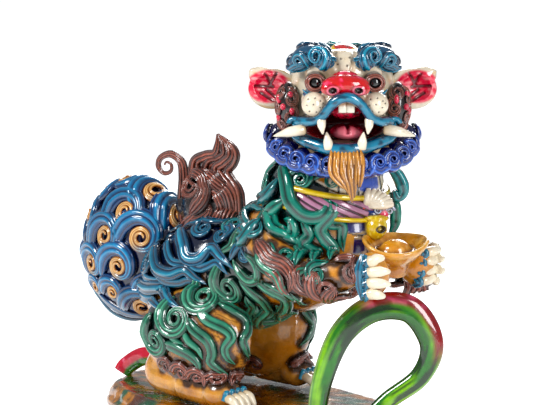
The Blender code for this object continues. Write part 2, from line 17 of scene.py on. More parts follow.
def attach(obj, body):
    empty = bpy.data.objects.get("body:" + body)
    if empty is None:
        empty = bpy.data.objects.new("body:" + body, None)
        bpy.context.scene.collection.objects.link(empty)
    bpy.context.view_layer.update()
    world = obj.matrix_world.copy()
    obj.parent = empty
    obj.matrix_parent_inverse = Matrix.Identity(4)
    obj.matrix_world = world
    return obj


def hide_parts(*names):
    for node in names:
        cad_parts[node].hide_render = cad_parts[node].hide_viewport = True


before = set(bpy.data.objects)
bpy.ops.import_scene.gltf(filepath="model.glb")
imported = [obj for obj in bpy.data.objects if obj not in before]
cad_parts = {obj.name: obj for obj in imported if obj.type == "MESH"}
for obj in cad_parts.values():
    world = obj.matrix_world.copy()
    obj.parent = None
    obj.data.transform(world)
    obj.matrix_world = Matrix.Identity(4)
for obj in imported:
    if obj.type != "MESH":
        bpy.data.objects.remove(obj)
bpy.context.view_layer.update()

MM = 0.001
SHOW_DEG = 40.0
SHOW_ACROSS = np.array((math.cos(math.radians(SHOW_DEG)), math.sin(math.radians(SHOW_DEG)), 0))
SHOW_OUT = np.array((math.sin(math.radians(SHOW_DEG)), -math.cos(math.radians(SHOW_DEG)), 0))
UP = np.array((0.0, 0.0, 1.0))
MIRROR = np.array((1.0, -1.0, 1.0))
# The way up for a strand that lies on no skin: a little aslant, so that none runs straight along it.
TO_VIEWER = SHOW_OUT + 0.01

HEAD = np.array(Matrix.Translation((52.6, -1.2, 163)) @ Matrix.Rotation(math.radians(SHOW_DEG), 4, "Z")
    @ Matrix.Diagonal((0.92, 0.95, 0.9, 1)))
FIRED_DEPTH = 1.22
FIRED_FULLNESS = 1.2
rng = np.random.default_rng(11)


# ---------------------------------------------------------------- small tools


def put(name, data):
    """A new object in the scene, holding this mesh, camera or light."""
    obj = bpy.data.objects.new(name, data)
    bpy.context.scene.collection.objects.link(obj)
    return obj


def unit(v):
    return v / np.maximum(np.linalg.norm(v, axis=-1, keepdims=True), 1e-9)


def ease(x, low, high):
    t = np.clip((np.asarray(x, float) - low) / (high - low), 0, 1)
    return t * t * (3 - 2 * t)


def mixed(a, b, t):
    return a + (b - a) * np.asarray(t)[..., None]


def rgb(red, green, blue):
    """A display colour, 0 to 255, as the linear colour that shaders take."""
    c = np.array((red, green, blue)) / 255
    return np.where(c <= 0.04045, c / 12.92, ((c + 0.055) / 1.055) ** 2.4)


def smooth_line(points, count):
    """A smooth line through the points, as `count` evenly spaced points."""
    p = np.array(points, float)
    if len(p) == 2:
        p = np.array([p[0], (p[0] + p[1]) / 2, p[1]])
    p = np.vstack([2 * p[0] - p[1], p, 2 * p[-1] - p[-2]])
    t = np.linspace(0, 1, 16, endpoint=False)[:, None]
    spans = []
    for a, b, c, d in zip(p, p[1:], p[2:], p[3:]):
        spans.append(0.5 * (2 * b + (c - a) * t + (2 * a - 5 * b + 4 * c - d) * t**2 + (3 * b - a - 3 * c + d)
            * t**3))
    return evenly(np.vstack([*spans, p[-2][None]]), count)


def show_place(across, out, up):
    """The place that far across, towards the viewer and up, seen from the show side."""
    return SHOW_ACROSS * across + SHOW_OUT * out + UP * up


def evenly(line, count):
    steps = np.linalg.norm(np.diff(line, axis=0), axis=1)
    along = np.concatenate([[0], np.cumsum(steps)])
    wanted = np.linspace(0, along[-1], count)
    return np.stack([np.interp(wanted, along, line[:, i]) for i in range(line.shape[1])], 1)


def spread(values, count):
    """A short list of sizes stretched to one per point."""
    values = np.atleast_1d(np.array(values, float))
    return np.interp(np.linspace(0, 1, count), np.linspace(0, 1, len(values)),
        values) if len(values) > 1 else np.full(count, values[0])


def softened(vectors, times=3):
    for _ in range(times):
        padded = np.vstack([vectors[:1], vectors, vectors[-1:]])
        vectors = unit(padded[:-2] + 2 * padded[1:-1] + padded[2:])
    return vectors


def noise(points, size, seed=0):
    """Smooth 0..1 noise made of a few waves in fixed random directions."""
    waves = np.random.default_rng(seed)
    total = np.zeros(len(points))
    for i in range(9):
        way = unit(waves.normal(size=3)) / size * (0.7 + 0.25 * i)
        total += np.sin(points @ way * 2 * math.pi + waves.uniform(0, 6.3))
    return np.clip(0.5 + total / 9, 0, 1)


def fired(tints):
    """The painted colours as they come out of the kiln: deeper and fuller."""
    tints = np.clip(tints, 0, 1) ** FIRED_DEPTH
    grey = tints @ np.array((0.3, 0.5, 0.2))
    return np.clip(grey[:, None] + (tints - grey[:, None]) * FIRED_FULLNESS, 0, 1)


# ---------------------------------------------------------------- shapes


def ring_faces(rings, around):
    a = np.arange(rings - 1)[:, None] * around
    b = np.arange(around)
    c = (b + 1) % around
    return np.stack([a + b, a + c, a + around + c, a + around + b], -1).reshape(-1, 4)


def capped(rings):
    """Rings of points as one closed skin: (points, faces)."""
    count, around = rings.shape[:2]
    points = np.vstack([rings.reshape(-1, 3), rings[0].mean(0), rings[-1].mean(0)])
    b = np.arange(around)
    c = (b + 1) % around
    last = (count - 1) * around
    start = np.stack([np.full(around, count * around), c, b], 1)
    end = np.stack([np.full(around, count * around + 1), last + b, last + c], 1)
    return points, [ring_faces(count, around), start, end]


def turn(axis, degrees):
    return np.array(Matrix.Rotation(math.radians(degrees), 3, axis))


def ball(centre, radii, turned=None, rings=24, around=32):
    """An oval lump: (points, faces)."""
    tilt = np.linspace(0.06, math.pi - 0.06, rings)[:, None]
    round_ = np.linspace(0, 2 * math.pi, around, endpoint=False)[None]
    unit_ball = np.stack([np.sin(tilt) * np.cos(round_), np.sin(tilt) * np.sin(round_),
        -np.cos(tilt) + 0 * round_], -1)
    rings_ = unit_ball * np.array(radii)
    if turned is not None:
        rings_ = rings_ @ turned.T
    return capped(rings_ + np.array(centre))


def frames_along(line, ups):
    forward = unit(np.gradient(line, axis=0))
    side = unit(np.cross(forward, ups))
    return forward, side, np.cross(side, forward)


def roll(points, radii, count=40, around=18, flat=1.0):
    """A rolled coil of clay through the points, rounded at both ends: (points, faces)."""
    line = smooth_line(points, count)
    size = spread(radii, count)
    ends = np.linspace(0, 1, count)
    size = size * np.sqrt(np.clip(1 - (np.abs(2 * ends - 1)) ** 14, 0.02, 1))
    up = UP + 0.01
    steep = np.abs(unit(np.gradient(line, axis=0))[:, 2]) > 0.93
    if steep.any():
        up = np.array((0.31, -0.95, 0.05))
    _, side, top = frames_along(line, up)
    a = np.linspace(0, 2 * math.pi, around, endpoint=False)
    section = -np.cos(a)[None, :, None] * side[:, None] + flat * np.sin(a)[None, :, None] * top[:, None]
    return capped(line[:, None] + size[:, None, None] * section)


class Shape:
    """What makes up one piece, in millimetres, with a glaze colour at every point."""

    def __init__(self):
        self.points, self.tints, self.faces, self.count = [], [], [], 0

    def add(self, points, faces, tints):
        self.points.append(points)
        self.tints.append(np.array(np.broadcast_to(tints, points.shape)))
        self.faces += [f + self.count for f in faces]
        self.count += len(points)
        return self

    def join(self, other, flip=False):
        points = np.vstack(other.points) * (MIRROR if flip else 1)
        faces = [f[:, ::-1] if flip else f for f in other.faces]
        return self.add(points, faces, np.vstack(other.tints))

    def mirrored(self):
        return Shape().join(self, flip=True)

    def moved(self, matrix):
        self.points = [p @ matrix[:3, :3].T + matrix[:3, 3] for p in self.points]
        return self

    def piece(self, name, glaze, *nodes):
        """Makes the Blender object, on body root, standing for the CAD nodes."""
        points = np.vstack(self.points) * MM
        tints = fired(np.vstack(self.tints))
        mesh = bpy.data.meshes.new(name)
        mesh.vertices.add(len(points))
        mesh.vertices.foreach_set("co", points.astype(np.float32).ravel())
        totals = np.concatenate([np.full(len(f), f.shape[1]) for f in self.faces])
        loops = np.concatenate([f.ravel() for f in self.faces])
        mesh.loops.add(len(loops))
        mesh.loops.foreach_set("vertex_index", loops.astype(np.int32))
        mesh.polygons.add(len(totals))
        mesh.polygons.foreach_set("loop_start", (np.cumsum(totals) - totals).astype(np.int32))
        mesh.polygons.foreach_set("use_smooth", np.ones(len(totals), bool))
        mesh.update(calc_edges=True)
        mesh.validate()
        colours = mesh.attributes.new("glaze", "FLOAT_COLOR", "POINT")
        colours.data.foreach_set("color", np.column_stack([tints,
            np.ones(len(tints))]).astype(np.float32).ravel())
        mesh.materials.append(MATERIALS[glaze])
        obj = put(name, mesh)
        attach(obj, "root")
        if nodes:
            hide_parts(*nodes)
        return obj


class Skin:
    """A smooth clay surface that hair and details are laid on."""

    def __init__(self, parts, voxel, smoothing=6, cuts=()):
        obj = put("clay", mesh_of(parts))
        remeshed(obj, voxel)
        cutters = []
        for cut in cuts:
            cutter = put("cutter", mesh_of([cut]))
            cutters.append(cutter)
            carve = obj.modifiers.new("carve", "BOOLEAN")
            carve.operation = "DIFFERENCE"
            carve.solver = "MANIFOLD"
            carve.object = cutter
        if cuts:
            remeshed(obj, voxel)
        soft = obj.modifiers.new("soft", "SMOOTH")
        soft.factor = 0.5
        soft.iterations = smoothing
        bpy.context.view_layer.update()
        made = obj.evaluated_get(bpy.context.evaluated_depsgraph_get())
        result = made.to_mesh()
        count = len(result.vertices)
        self.points = np.empty(count * 3, np.float32)
        result.vertices.foreach_get("co", self.points)
        self.points = self.points.reshape(-1, 3).astype(float)
        self.normals = np.empty(count * 3, np.float32)
        result.vertex_normals.foreach_get("vector", self.normals)
        self.normals = self.normals.reshape(-1, 3).astype(float)
        self.faces = np.empty(len(result.loops), np.int32)
        result.loops.foreach_get("vertex_index", self.faces)
        self.faces = self.faces.reshape(-1, 4)
        made.to_mesh_clear()
        for spare in [obj, *cutters]:
            data = spare.data
            bpy.data.objects.remove(spare)
            bpy.data.meshes.remove(data)
        self.tree = BVHTree.FromPolygons(self.points.tolist(), self.faces.tolist())

    def nearest(self, places):
        found, ups = [], []
        for place in places:
            hit, normal, _, _ = self.tree.find_nearest(Vector(place))
            found.append(hit)
            ups.append(normal)
        return np.array(found), np.array(ups)

    def shown(self, across, up, out=SHOW_OUT, along=SHOW_ACROSS):
        """Where the surface is, seen from the show side at (across, up)."""
        start = along * across + out * 220 + UP * up
        hit, _, _, _ = self.tree.ray_cast(Vector(start), Vector(-out))
        if hit is not None:
            return np.array(hit)
        best = None
        for depth in range(120, 320, 4):
            place, _, _, distance = self.tree.find_nearest(Vector(start - out * depth))
            if best is None or distance < best[0]:
                best = (distance, np.array(place))
        return best[1]

    def shape(self, tints, points=None):
        """The skin as a shape, its points moved to `points` where they are given."""
        return Shape().add(self.points if points is None else points, [self.faces], tints)


def mesh_of(parts):
    shape = Shape()
    for points, faces in parts:
        shape.add(points, faces, 0.0)
    mesh = bpy.data.meshes.new("clay")
    mesh.from_pydata(np.vstack(shape.points).tolist(), [],
        [f for group in shape.faces for f in group.tolist()])
    return mesh


def remeshed(obj, voxel):
    remesh = obj.modifiers.new("remesh", "REMESH")
    remesh.mode = "VOXEL"
    remesh.voxel_size = voxel


# ---------------------------------------------------------------- strands of hair


class Tone:
    """Three depths of one glaze: where it pools in a groove, on the body, and thin over a ridge."""

    def __init__(self, pool, body, ridge):
        self.pool, self.body, self.ridge = rgb(*pool), rgb(*body), rgb(*ridge)

    def at(self, thick, thin):
        return mixed(mixed(self.pool, self.body, thick), self.ridge, thin)


def strand(shape, line, ups, width, height, tone, ridges=1, groove=0.35, tip=None, tip_from=0.6, sink=0.5,
        vary=0.16, fine=9):
    """A strand of clay laid along a line, tapering as `width` and `height` say, its back ridged lengthways.

    ups is the way up: one vector for the whole line, or one for each of its points.
    """
    count = len(line)
    _, side, top = frames_along(line, ups)
    width = spread(width, count) / 2
    height = spread(height, count)
    over = max(4 * ridges + 1, fine)
    a = np.linspace(0, math.pi, over)
    rho = np.abs(np.sin(ridges * a)) ** 0.7 if ridges > 1 else np.ones(over)
    lift = np.sin(a) ** 0.75 * (1 - groove * (1 - rho))
    b = np.linspace(math.pi, 2 * math.pi, 5)[1:-1]
    out = np.concatenate([-np.cos(a), -np.cos(b)])
    lift = np.concatenate([lift, sink * np.sin(b)])
    rho = np.concatenate([rho, np.zeros(3)])
    rings = line[:, None] + side[:, None] * (width[:, None] * out)[..., None] + top[:,
        None] * (height[:, None] * lift)[..., None]
    crest = np.concatenate([np.sin(a), np.zeros(3)])
    thick = np.clip(crest**1.1 * (0.12 + 0.95 * rho), 0, 1)
    thin = np.clip((rho - 0.55) / 0.45, 0, 1) * crest**2 * (0.75 if ridges > 1 else 0.45)
    along = np.linspace(0, 1, count)
    shade = 1 + vary * rng.uniform(-1, 1)
    tints = np.broadcast_to(tone.at(thick, thin) * shade, rings.shape)
    if tip is not None:
        part = ease(along, tip_from, min(tip_from + 0.14, 1.0))
        tints = mixed(tints, tip.at(thick, thin), part[:, None])
    points, faces = capped(rings)
    tints = np.vstack([tints.reshape(-1, 3), tints[0].mean(0), tints[-1].mean(0)])
    shape.add(points, faces, tints)


def laid(skin, line, lift=0.0):
    """The line dropped onto the skin, and the way up from the skin at each point."""
    found, ups = skin.nearest(line)
    ups = softened(ups, 4)
    return found + ups * np.reshape(spread(lift, len(found)), (-1, 1)), ups


def lock(shape, skin, places, width, tone, ridges=2, height=0.5, count=36, seen=True, lift=0.0,
        taper=(0.55, 0.95, 1, 0.9, 0.7, 0.25), **more):
    """A wavy lock through places on the show side, thick in the middle and thin at the tip."""
    if seen:
        places = np.array([skin.shown(*place) for place in places])
    line, ups = laid(skin, smooth_line(places, count), lift)
    widths = spread(np.array(taper) * width, count) * rounded_ends(count)
    strand(shape, line, ups, widths, widths * height, tone, ridges, **more)
    LINES.append(line)


def rounded_ends(count, sharp=0.12):
    t = np.linspace(0, 1, count)
    return np.sqrt(np.clip(np.minimum(t, 1 - t) / sharp, 0.03, 1))


LINES = []  # every strand's middle line, so that painted shade can be laid on the skin beside it


def tangents(up_way, normal):
    """Right and up in the surface, as somebody facing it sees them."""
    up = up_way - normal * np.dot(up_way, normal)
    if np.linalg.norm(up) < 0.2:
        up = np.array((-1.0, 0, 0)) - normal * -normal[0]
    up = unit(up)
    return np.cross(up, normal), up


def hook(shape, skin, centre, radius, start, hand, turns=1.9, stem=12.0, bend=0.5, tone=None, ridges=3,
        height=0.55,
         dome=0.25, lift=0.0, up_way=UP, root=0.6, widen=1.0, sink=0.5, wind=(0.2, 0.125), tip_turn=None,
         **more):
    """A lock that ends in a curl: a stem that bends into a shrinking spiral about `centre`.

    start is where on the curl the stem joins, in degrees anticlockwise from the right. hand is +1 for a curl
    that runs anticlockwise towards its eye and -1 for a clockwise one. wind is how fast the radius shrinks,
    first along the broad outer band and then in the eye.
    """
    step = 0.24
    phi = np.arange(0, 2 * math.pi * turns, step)
    pull = wind[1] + (wind[0] - wind[1]) * (1 - ease(phi, 1.6, 3.6))
    r = radius * np.exp(-np.concatenate([[0], np.cumsum(pull[:-1] * step)]))
    share_wide = np.minimum(2 * np.tanh(math.pi * pull), 0.92)
    a = math.radians(start) + hand * phi
    flat = np.stack([r * np.cos(a), r * np.sin(a)], 1)
    way = math.atan2(flat[0, 1] - flat[1, 1], flat[0, 0] - flat[1, 0])
    steps = max(int(stem / (step * radius)), 1)
    back = [flat[0]]
    for i in range(steps):
        way -= hand * step * (1 - (i + 1) / steps * (1 + bend))
        back.append(back[-1] + step * radius * np.array((math.cos(way), math.sin(way))))
    flat = np.vstack([np.array(back[:0:-1]), flat])
    size = np.concatenate([np.full(steps, radius), r])
    root_on, normal = skin.nearest([centre])
    right, up = tangents(up_way, unit(normal[0]))
    line = root_on[0] + flat[:, :1] * right + flat[:, 1:] * up
    share = np.concatenate([np.zeros(steps), phi / phi[-1]])
    line, ups = laid(skin, line, lift + dome * radius * share**0.8)
    width = size * widen * np.concatenate([share_wide[0] * np.linspace(root, 1, steps), share_wide])
    ends = np.ones(len(width))
    ends[:3] = (0.3, 0.65, 0.9)
    ends[-2:] = (0.85, 0.5)
    tall = np.concatenate([np.linspace(0.55, 1, steps), 1 + 0.35 * phi / phi[-1]])
    if tip_turn is not None:
        more["tip_from"] = (steps + tip_turn * 2 * math.pi / step) / len(width)
    strand(shape, line, ups, width * ends, width * height * tall * ends, tone, ridges, sink=sink, **more)
    LINES.append(line)


# ---------------------------------------------------------------- glazes


SPECK_CELLS, CRACK_CELLS = 620, 330
BUMP_DEPTH = 0.0006


def feed(tree, node, inputs):
    """Sets a node's inputs: each is a value, or the output of another node."""
    for name, value in inputs.items():
        if isinstance(value, bpy.types.NodeSocket):
            tree.links.new(value, node.inputs[name])
        else:
            node.inputs[name].default_value = value


def add_node(tree, kind, inputs=None, **settings):
    node = tree.nodes.new(kind)
    for name, value in settings.items():
        setattr(node, name, value)
    feed(tree, node, inputs or {})
    return node


def glaze(name, rough=0.2, mottle=0.16, cells=420.0, bump=0.12, speck=0.0, crackle=0.0):
    """A fired glaze over the colours painted on the piece.

    It has uneven depth, faint orange peel and, where asked for, dark specks and fine crackle.
    """
    material = bpy.data.materials.new(name)
    material.use_nodes = True
    tree = material.node_tree
    colour = add_node(tree, "ShaderNodeAttribute", attribute_name="glaze").outputs["Color"]
    place = add_node(tree, "ShaderNodeTexCoord").outputs["Object"]

    def noise_at(scale, detail, distortion=0.0):
        inputs = {"Scale": scale, "Detail": detail, "Distortion": distortion, "Vector": place}
        return add_node(tree, "ShaderNodeTexNoise", inputs).outputs["Fac"]

    def cells_at(scale, **settings):
        return add_node(tree, "ShaderNodeTexVoronoi", {"Scale": scale, "Vector": place},
            **settings).outputs["Distance"]

    def ranged(value, low, high, to_low, to_high):
        inputs = {"From Min": low, "From Max": high, "To Min": to_low, "To Max": to_high, "Value": value}
        return add_node(tree, "ShaderNodeMapRange", inputs).outputs["Result"]

    def tinted(colour, factor, into, kind):
        inputs = {"Factor": factor, "A": colour, "B": (*into, 1)}
        return add_node(tree, "ShaderNodeMix", inputs, data_type="RGBA", blend_type=kind).outputs["Result"]

    pooled = ranged(noise_at(cells * 0.35, 3, 0.6), 0.42, 0.72, 0.0, mottle * 2.2)
    colour = tinted(colour, pooled, (0.16, 0.14, 0.15), "MULTIPLY")
    thinned = ranged(noise_at(cells, 4, 0.3), 0.5, 0.8, 0.0, mottle * 1.3)
    colour = tinted(colour, thinned, (0.8, 0.8, 0.74), "OVERLAY" if speck == 0 else "MULTIPLY")
    if speck:
        colour = tinted(colour, ranged(cells_at(SPECK_CELLS), 0.05, 0.12, speck, 0.0), (0.05, 0.035, 0.03),
            "MIX")
    if crackle:
        cracks = cells_at(CRACK_CELLS, feature="DISTANCE_TO_EDGE")
        colour = tinted(colour, ranged(cracks, 0.0, 0.02, crackle, 0.0), (0.16, 0.1, 0.06), "MIX")
    peel = add_node(tree, "ShaderNodeBump", {
        "Strength": bump, "Distance": BUMP_DEPTH, "Height": noise_at(cells * 0.9, 3)})
    feed(tree, tree.nodes["Principled BSDF"], {
        "Base Color": colour, "IOR": 1.5, "Coat Weight": 1.0, "Coat Roughness": 0.035,
        "Normal": peel.outputs["Normal"],
        "Roughness": ranged(noise_at(cells * 0.8, 3), 0.3, 0.7, rough * 0.6, rough * 1.6)})
    return material


MATERIALS = {
    "ochre_glaze": glaze("honey ochre glaze", rough=0.22, mottle=0.2, crackle=0.25),
    "cream_glaze": glaze("cream glaze", rough=0.2, mottle=0.08, speck=0.55, crackle=0.12),
    "turquoise_glaze": glaze("turquoise glaze", rough=0.14, mottle=0.16),
    "blue_glaze": glaze("tail blue glaze", rough=0.13, mottle=0.18),
    "green_glaze": glaze("emerald glaze", rough=0.14, mottle=0.2),
    "cobalt_glaze": glaze("cobalt glaze", rough=0.15, mottle=0.14),
    "brown_glaze": glaze("red-brown glaze", rough=0.24, mottle=0.22),
    "red_glaze": glaze("crimson glaze", rough=0.14, mottle=0.16),
    "pink_glaze": glaze("pink glaze", rough=0.18, mottle=0.12),
    "black_glaze": glaze("black glaze", rough=0.08, mottle=0.1, bump=0.03),
    "yellow_glaze": glaze("yellow glaze", rough=0.17, mottle=0.16),
    "leaf_green_glaze": glaze("leaf green glaze", rough=0.14, mottle=0.2),
}

TAIL = Tone((5, 20, 66), (8, 84, 146), (44, 172, 204))
TAIL_RIM = Tone((6, 48, 84), (16, 132, 160), (92, 206, 212))
CURL_EYE = Tone((170, 104, 40), (218, 168, 104), (246, 222, 178))
RUMP = Tone((6, 26, 54), (10, 92, 132), (58, 172, 192))
TEAL = Tone((5, 38, 48), (14, 112, 122), (90, 192, 190))
EMERALD = Tone((3, 34, 30), (12, 104, 84), (124, 198, 168))
MANE = Tone((4, 38, 40), (14, 116, 104), (96, 190, 168))
BROWN = Tone((34, 11, 11), (118, 60, 50), (192, 132, 116))
TURQUOISE = Tone((4, 40, 66), (10, 108, 142), (56, 174, 194))
COBALT = Tone((4, 12, 66), (8, 40, 150), (104, 150, 226))
TAN = Tone((96, 50, 20), (202, 138, 66), (240, 198, 134))
INK = rgb(16, 13, 17)
CREAM = rgb(236, 226, 208)
CREAM_SHADE = rgb(204, 180, 142)
OCHRE = rgb(205, 146, 78)
OCHRE_LIGHT = rgb(228, 182, 118)
# The dark ochre used for painted shade on the bare hide.
OCHRE_SHADE = rgb(132, 74, 30)
CRIMSON = rgb(204, 26, 66)
CRIMSON_DARK = rgb(118, 8, 34)
ROSE = rgb(240, 108, 132)
HIDE_PITS = rgb(52, 28, 16)


# ---------------------------------------------------------------- body


TORSO = (
    ((-44, 0, 64), (30, 25, 27)),
    ((-10, 0, 76), (34, 25, 27)),
    ((22, 0, 89), (32, 27, 29)),
    ((42, 0, 103), (26, 24, 34)),
    ((50, 0, 128), (20, 21, 16)),
)
PADS = {  # centre, radii and degrees turned about Y, on the right side
    "flank_locks": ((6, -12, 82), (38, 16.5, 19), -22),
    "rump_locks": ((-34, -8, 76), (36, 19.5, 23), -24),
    "mane": ((40, -8, 118), (25, 20, 27), 0),
    "thigh_locks": ((-26, -27, 51), (25, 15.5, 17), 0),
}
TONES = {"flank_locks": EMERALD, "rump_locks": RUMP, "mane": MANE, "thigh_locks": EMERALD}
HAIR_GLAZES = {
    "rump_locks": "blue_glaze", "flank_locks": "green_glaze", "thigh_locks": "green_glaze",
    "mane": "green_glaze",
    "foreleg_curls": "brown_glaze", "hock_curls": "brown_glaze",
}
HIND_LEG = (
    ball((-20, -24, 44), (32, 17, 27), turn("Y", -12)),
    roll([(-38, -25, 34), (-42, -27, 24), (-24, -29, 22)], (10, 9, 8.6)),
    roll([(-26, -29, 22), (-12, -30, 21), (0, -30, 20.8)], (8.6, 8.2, 8)),
    ball((0, -30, 21), (10, 9.5, 8)),
)
FORELEG = (
    roll([(20, -20, 104), (34, -29, 92), (46, -31, 85), (62, -26, 86), (76, -20, 89)],
    (14, 12, 10.5, 8.8, 8.6)),
    ball((83, -18, 88), (9.5, 7, 10.5)),
)


def flipped(part):
    points, faces = part
    return points * MIRROR, [f[:, ::-1] for f in faces]


def pad_of(name, scale=1.0):
    centre, radii, tilt = PADS[name]
    return ball(centre, np.array(radii) * scale, turn("Y", tilt), 36, 48)


def shade_beside_strands(skin, near, dark, reach=3.4):
    """How much painted shade each point of the skin gets, 0..1: 1 right beside a strand and 0 further than `reach`
    from its edge.
    """
    tree = KDTree(len(near))
    for i, place in enumerate(near):
        tree.insert(Vector(place), i)
    tree.balance()
    far = np.array([tree.find(Vector(p))[2] for p in skin.points])
    return 1 - ease(far, dark, dark + reach)


def tufts(skin, region, spacing, avoid, clearance, make, seed):
    """Fills the rest of a region with small curls and locks, evenly but not in rows."""
    picker = np.random.default_rng(seed)
    order = picker.permutation(len(skin.points))
    kept = []
    for i in order:
        point, normal = skin.points[i], skin.normals[i]
        if not region(point, normal):
            continue
        if len(avoid) and np.min(np.sum((avoid - point) ** 2, 1)) < clearance**2:
            continue
        if kept and np.min(np.sum((np.array(kept) - point) ** 2, 1)) < spacing**2:
            continue
        kept.append(point)
        make(point, normal, picker)


def body():
    torso_skin = Skin([ball(c, r) for c, r in TORSO], 0.9)
    leg_skin = Skin(HIND_LEG, 0.7)
    arm_skin = Skin(FORELEG, 0.7)
    pads = [pad_of(name) for name in PADS]
    near = [*HIND_LEG, *FORELEG, *pads]
    coat = Skin([ball(c, r) for c, r in TORSO] + near + [flipped(part) for part in near], 1.2, 10)

    hair = {name: Shape() for name in [*PADS, "nape_locks", "foreleg_curls", "hock_curls"]}
    for name, tone in TONES.items():
        points, faces = pad_of(name, 0.955)
        hair[name].add(points, faces, tone.pool * 1.2)

    def curl(name, eye, radius, start, hand, tone, **more):
        hook(hair[name], coat, coat.shown(*eye), radius, start, hand, tone=tone, **more)

    def wave(name, places, width, tone, **more):
        lock(hair[name], coat, places, width, tone, **more)

    # The flank: four emerald hooks that roll up from below.
    for eye, radius in (((-51, 45), 9.4), ((-41, 57), 9.6), ((-27, 67), 9.6), ((-14.5, 74), 9.0)):
        curl("flank_locks" if eye[1] > 60 else "thigh_locks", eye, radius, 178, 1, EMERALD, stem=17, ridges=4,
            groove=0.5, bend=0.3, height=0.5)
    # The thigh: long wavy locks over bare hide.
    for places in (
        [(-37, 59), (-32, 53), (-25, 48), (-23, 42), (-24, 38), (-20, 34), (-15, 30)],
        [(-31, 64), (-26, 58), (-17, 54), (-14, 50), (-17, 45), (-16, 40), (-12, 36)],
        [(-22, 66), (-14, 62), (-8, 57), (-7, 52), (-9, 48), (-7, 42), (-6, 37)],
        [(-48, 44), (-42, 43), (-34, 40), (-30, 36), (-30, 31)],
    ):
        wave("thigh_locks", places, 6.4, EMERALD, ridges=2, groove=0.3, height=0.55, lift=0.3)
    for places in ([(-38, 52), (-35, 47), (-30, 43), (-28, 38)], [(-8, 64), (-1, 60), (-2, 54), (-4, 49)],
            [(-45, 50), (-41, 46), (-37, 44)]):
        wave("thigh_locks", places, 4.2, EMERALD, ridges=1, height=0.5)
    # The rump: blue locks flowing forward from under the tail.
    for places, width in (
        ([(-66, 72), (-63, 67), (-57, 66), (-50, 68), (-45, 64), (-38, 61)], 8),
        ([(-68, 64), (-63, 61), (-57, 60), (-51, 61), (-46, 58)], 5.5),
        ([(-54, 90), (-53, 83), (-51, 77), (-44, 76), (-37, 79), (-31, 75), (-26, 73)], 8),
        ([(-53, 76), (-47, 72), (-40, 72), (-35, 74), (-31, 70)], 5.5),
        ([(-40, 98), (-38, 91), (-36, 85), (-30, 85), (-23, 90), (-17, 87), (-12, 83)], 8),
        ([(-37, 86), (-31, 81), (-25, 82), (-20, 85), (-15, 80)], 5.5),
        ([(-46, 92), (-46, 86), (-43, 82), (-36, 82), (-30, 80)], 5),
        ([(-59, 76), (-58, 71), (-53, 71), (-49, 72), (-46, 69)], 4.5),
    ):
        wave("rump_locks", places, width, RUMP, ridges=3 if width > 6 else 2, groove=0.4, height=0.5,
            lift=0.4)
    for eye, radius, start in (((-19, 96), 6.0, 60), ((-10, 101), 5.5, 100), ((-7, 91), 6.2, 150)):
        curl("rump_locks", eye, radius, start, -1, RUMP, ridges=2, stem=9)
    # The belly and shoulder locks between flank and foreleg.
    for places, width in (
        ([(-10, 78), (-4, 73), (2, 68), (4, 63), (-1, 57), (-1, 52), (4, 47)], 7),
        ([(-5, 80), (3, 76), (12, 72), (13, 66), (9, 60), (9, 55), (12, 52)], 7),
        ([(-1, 97), (2, 91), (8, 87), (11, 81), (13, 76)], 7),
        ([(-13, 88), (-9, 82), (-3, 79), (0, 85), (-2, 91), (-7, 94)], 6.5),
        ([(2, 82), (8, 80), (15, 76), (17, 71)], 5),
        ([(-7, 70), (-4, 64), (-6, 58), (-4, 53)], 5),
        ([(14, 79), (18, 75), (19, 70), (23, 67)], 4.6),
    ):
        wave("flank_locks", places, width, EMERALD, ridges=3 if width > 6 else 2, groove=0.4, lift=0.3)
    for eye, radius, start in (((4, 60), 5.4, 200), ((15, 62), 4.6, 190), ((20, 84), 5, 120)):
        curl("flank_locks", eye, radius, start, 1, EMERALD, ridges=2, stem=8)
    # The mane: thick smooth tubes that curl about the neck.
    for places, width in (
        ([(12, 137), (14, 129), (16, 120), (22, 114), (29, 114), (32, 119), (28, 122)], 8.4),
        ([(13, 121), (6, 112), (6, 106), (11, 103), (17, 106), (16, 111), (12, 111)], 8),
        ([(33, 124), (34, 116), (29, 109), (31, 103), (35, 98), (33, 94)], 7.4),
        ([(20, 112), (24, 106), (22, 100), (27, 96), (25, 92)], 7),
        ([(8, 104), (13, 101), (19, 100), (20, 95), (17, 91)], 7),
        ([(14, 112), (18, 107), (17, 103), (21, 104)], 5),
    ):
        wave("mane", places, width, MANE, ridges=2, groove=0.22, height=0.62, lift=0.8,
            taper=(0.6, 0.95, 1, 0.95, 0.85, 0.5))
    for eye, radius, start, hand in (((20, 130), 7, 150, -1), ((12, 95), 6, 180, 1), ((27, 88), 5.4, 120, 1)):
        curl("mane", eye, radius, start, hand, MANE, ridges=2, groove=0.25, stem=9, height=0.6)
    # The nape: teal tubes behind the mane.
    for places, width in (
        ([(10, 130), (5, 121), (0, 115), (-3, 110)], 7.5),
        ([(3, 114), (-3, 112), (-8, 108), (-5, 103), (1, 105), (0, 110)], 6.5),
        ([(1, 110), (-3, 106), (-7, 100), (-10, 96)], 6.5),
    ):
        wave("nape_locks", places, width, TEAL, ridges=2, groove=0.25, height=0.6, lift=0.6)
    far_neck = [show_place(62.5, 26, 134), show_place(67, 25, 129), show_place(69.6, 25, 122),
        show_place(67, 26, 118.4), show_place(65.2, 27, 122)]
    far = Shape()
    line = smooth_line(far_neck, 40)
    strand(far, line, TO_VIEWER, [3.6, 6.4, 7.0, 5.4, 2.4], [2.4, 4, 4.4, 3.4, 1.6], TEAL, 2, groove=0.25,
        sink=1.0)
    line = smooth_line([show_place(62.6, 20, 120), show_place(66, 20, 113), show_place(66.2, 20, 105),
        show_place(64, 20, 99)], 40)
    strand(far, line, TO_VIEWER, [4, 6.4, 6.0, 2.4], [2.4, 4.4, 4.4, 1.6], MANE, 2, groove=0.25, sink=1.0)
